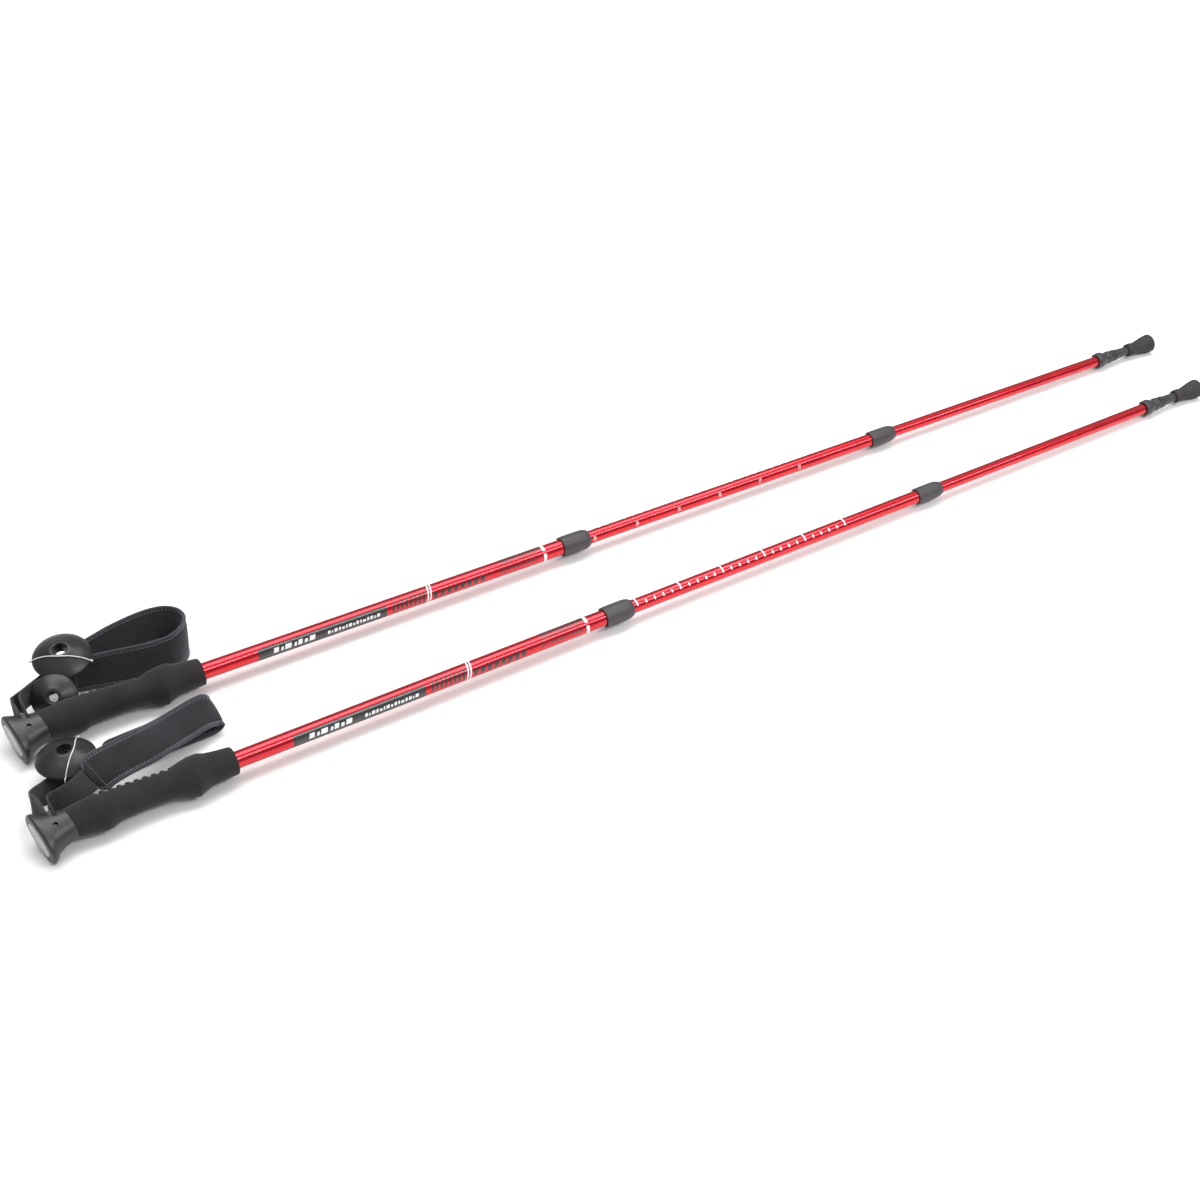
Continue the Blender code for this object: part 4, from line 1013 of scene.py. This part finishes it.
def rubber_tip(tag):
    """The flared rubber foot: a cuff, a waist, and a bell with a fluted rim."""
    count = 96
    profile = [(1311.0, 5.25), (1311.0, 6.4), (1311.8, 7.0), (1314.5, 7.1), (1318.0, 7.1), (1318.9, 6.7),
               (1319.6, 6.35), (1322.0, 6.45), (1325.0, 6.95), (1329.0, 7.7), (1334.0, 8.75), (1337.0, 9.3),
               (1340.6, 9.85), (1343.2, 10.12), (1345.2, 10.15), (1346.0, 9.6), (1346.0, 6.6), (1345.2, 6.2),
               (1345.2, 5.4), (1346.0, 5.0), (1346.0, 2.7), (1344.6, 2.2), (1344.6, 0.9), (1331.5, 0.9),
               (1331.5, 3.4), (1322.6, 3.4), (1322.6, 4.7)]
    rings = []
    for x, r in rounded(profile, 0.3):
        ring = []
        for i in range(count):
            a = 2 * math.pi * i / count
            rr = r
            if 1339.6 < x < 1345.6 and r > 8.0:
                rr = r - 0.28 * (0.5 + 0.5 * math.cos(24 * a)) ** 2
            ring.append((x, rr * math.cos(a), rr * math.sin(a)))
        rings.append(ring)
    b = Build()
    b.loft(rings, cyclic=True)
    b.fine("rubber_tip", "rubber", tag, "rubber_tip", sharp=34)


# ---- mud baskets -------------------------------------------------------------------------------
def basket_place(tag, centre, normal):
    turn = Vector(normal).to_track_quat("X", "Y").to_matrix().to_4x4()
    return POLE[tag] @ Matrix.Translation(Vector(centre) * MM) @ turn


def basket(name):
    """A thin, smooth dome with a rolled rim and a hub threaded inside."""
    tag, body, centre, normal, radius, height, hole = BASKETS[name]
    hub = hole + HUB_WALL
    # the dome's line, from the rim to the hub
    knots = [(up * height, out * radius) for out, up in DOME_LINE] + [(height - 0.35, hub + 0.9)]
    arc = [(p.x, p.y) for p in spline([Vector(k).to_3d() for k in knots], 6)]
    outer = [(0.0, radius - 0.4)] + arc[1:] + [(height, hub - 0.2), (height, hole + 0.35)]
    throat = [(height - 0.6, hole - 0.35), (height - 1.8, hole - 0.35), (height - 2.1, hole + 0.6),
              (height - 2.9, hole + 0.6), (height - 3.2, hole - 0.6), (height - 4.4, hole - 0.6),
              (height - 4.7, hole + 0.6), (height - 5.5, hole + 0.6), (height - 5.8, hole - 0.95), (1.0, hole - 0.95)]
    under = [(1.0, hub), (0.62 * height, hub), (0.5 * height, 0.62 * radius), (0.34 * height, 0.74 * radius),
             (0.12 * height, 0.895 * radius), (0.0, radius - 1.3)]
    b = Build()
    rings = [circle(x, r, 112) for x, r in outer + throat + under]
    b.loft(rings, cyclic=True)
    b.done(name + "_fine", M["basket_plastic"], basket_place(tag, centre, normal), body, slot="basket_plastic",
           node=name, sharp=34)


def dome_height(distance, radius, height, hub):
    """The height of a basket's outer face at a distance from its axis."""
    knots = [(hub + 0.6, height)] + [(out * radius, up * height) for out, up in reversed(DOME_LINE)]
    for (near, top), (far, low) in zip(knots, knots[1:]):
        if distance < far:
            return top + (low - top) * max(0.0, (distance - near) / (far - near))
    return 0.0


def tag_route(radius, height, hole):
    """The nylon line's path round a basket, in the basket's frame: over the dome and under it."""
    side, clear, offset = radius + TAG_R + 0.5, TAG_R + 0.65, 9.6
    points = []
    for y in (-1.0, -0.93, -0.8, -0.6, -0.35, 0.0, 0.35, 0.6, 0.8, 0.93, 1.0):
        along, beside = y * side, offset * (1 - 0.45 * abs(y))
        rise = dome_height(math.hypot(along, beside), radius, height, hole + HUB_WALL)
        points.append(Vector((rise + clear if abs(y) < 0.95 else 1.6, along, beside)))
    points += [Vector((-0.6, side - 0.35, offset * 0.53)), Vector((-TAG_R - 0.5, side - 2.2, offset * 0.5)),
               Vector((-TAG_R - 0.1, 0.0, offset * 0.4)), Vector((-TAG_R - 0.5, 2.2 - side, offset * 0.5)),
               Vector((-0.9, 0.5 - side, offset * 0.5))]
    return spline(points, 2)


def tag_line(name, basket_name):
    tag, body, centre, normal, radius, height, hole = BASKETS[basket_name]
    place = basket_place(tag, centre, normal) @ Matrix.Rotation(math.radians(TAG_TURNS[basket_name]), 4, "X")
    route = [place @ (p * MM) for p in tag_route(radius, height, hole)]
    curve = bpy.data.curves.new(name + "_fine", "CURVE")
    curve.dimensions = "3D"
    curve.bevel_depth = TAG_R * MM * 0.86
    curve.bevel_resolution = 4
    curve.use_fill_caps = True
    line = curve.splines.new("POLY")
    dense = spline(route, 4)
    line.points.add(len(dense) - 1)
    for point, value in zip(line.points, dense):
        point.co = (*value, 1.0)
    curve.materials.append(M["nylon_line"])
    obj = bpy.data.objects.new(name + "_fine", curve)
    bpy.context.scene.collection.objects.link(obj)
    # the knot that joins the line's two ends at the rim
    b = Build()
    rings = []
    inverse = place.inverted()
    first, last = inverse @ dense[0] / MM, inverse @ dense[-1] / MM
    middle = (first + last) / 2
    for i in range(9):
        t = -1 + i / 4.0
        r = 1.15 * math.sqrt(max(0.06, 1 - t * t)) * (1 + 0.12 * math.cos(6 * t))
        rings.append([(middle.x + t * 1.3, middle.y + r * math.cos(a), middle.z + r * math.sin(a))
                      for a in (2 * math.pi * k / 14 for k in range(14))])
    b.loft(rings, caps=True)
    knot = b.done(name + "_knot", M["nylon_line"], place, body, slot="nylon_line", sharp=60)
    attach(obj, body)
    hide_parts(name)


# ---- build -------------------------------------------------------------------------------------
tag_line("tag_line_a", "mud_basket_a")
tag_line("tag_line_b", "mud_basket_b")
for t in ("a", "b"):
    grip_head(t)
    head_cap(t)
    strap_pin(t)
    foam_grip(t)
    strap_webbing(t)
    strap_pad(t)
    for part in TUBES:
        tube(part, t)
    upper_print(t)
    middle_print(t)
    for part in COLLARS:
        collar(part, t)
    tip_adaptor(t)
    steel_tip(t)
    rubber_tip(t)
for key in BASKETS:
    basket(key)

# the hidden works keep their CAD shape, with the same kinds of material
PLAIN = {"strap_wedge": "grip_plastic", "upper_expander": "nylon", "upper_cone": "cone_plastic",
         "shock_plunger": "steel", "shock_spring": "steel", "middle_plug": "nylon", "lower_expander": "nylon",
         "lower_cone": "cone_plastic", "lock_screw": "steel", "lower_plug": "nylon"}
for key, mat in PLAIN.items():
    for t in ("a", "b"):
        for place in NODES[f"{key}_{t}"].material_slots:
            place.material = M[mat]

# ---- studio ------------------------------------------------------------------------------------
floor_mesh = bpy.data.meshes.new("floor")
floor_mesh.from_pydata([(-6, -6, 0), (6, -6, 0), (6, 6, 0), (-6, 6, 0)], [], [(0, 1, 2, 3)])
floor = bpy.data.objects.new("floor", floor_mesh)
bpy.context.scene.collection.objects.link(floor)
ground = Shader("pale_floor", (0.9, 0.9, 0.9), 0.6, 0.0, Specular_IOR_Level=0.2)
ground.tint(ground.noise(3.0, 3.0), (0.9, 0.9, 0.9), (0.92, 0.92, 0.92))
floor_mesh.materials.append(ground.mat)

world = bpy.data.worlds.new("studio")
world.use_nodes = True
sky = world.node_tree
where = sky.nodes.new("ShaderNodeTexCoord")
split = sky.nodes.new("ShaderNodeSeparateXYZ")
shades = sky.nodes.new("ShaderNodeValToRGB")
sky.links.new(where.outputs["Generated"], split.inputs["Vector"])
sky.links.new(split.outputs["Z"], shades.inputs["Fac"])
sky.links.new(shades.outputs["Color"], sky.nodes["Background"].inputs["Color"])
ramp = shades.color_ramp
ramp.elements[0].position, ramp.elements[0].color = 0.0, (0.55, 0.55, 0.55, 1.0)
ramp.elements[1].position, ramp.elements[1].color = 1.0, (0.7, 0.7, 0.7, 1.0)
for at, level in ((0.12, 0.34), (0.56, 0.3), (0.7, 0.6)):
    ramp.elements.new(at).color = (level, level, level, 1.0)
sky.nodes["Background"].inputs["Strength"].default_value = 1.25
bpy.context.scene.world = world


def area_light(name, location, target, size, size_y, power):
    data = bpy.data.lights.new(name, "AREA")
    data.shape, data.size, data.size_y, data.energy = "RECTANGLE", size, size_y, power
    light = bpy.data.objects.new(name, data)
    light.location = location
    light.rotation_euler = (Vector(target) - Vector(location)).to_track_quat("-Z", "Y").to_euler()
    bpy.context.scene.collection.objects.link(light)


area_light("strip", (0.9, -1.36, 1.5), (0.9, 0.0, 0.0), 2.2, 0.26, 26.0)
area_light("overhead", (0.1, 0.5, 2.4), (0.0, 0.0, 0.0), 3.2, 1.3, 62.0)
bpy.context.scene.view_settings.view_transform = "Standard"
bpy.context.scene.view_settings.look = "None"
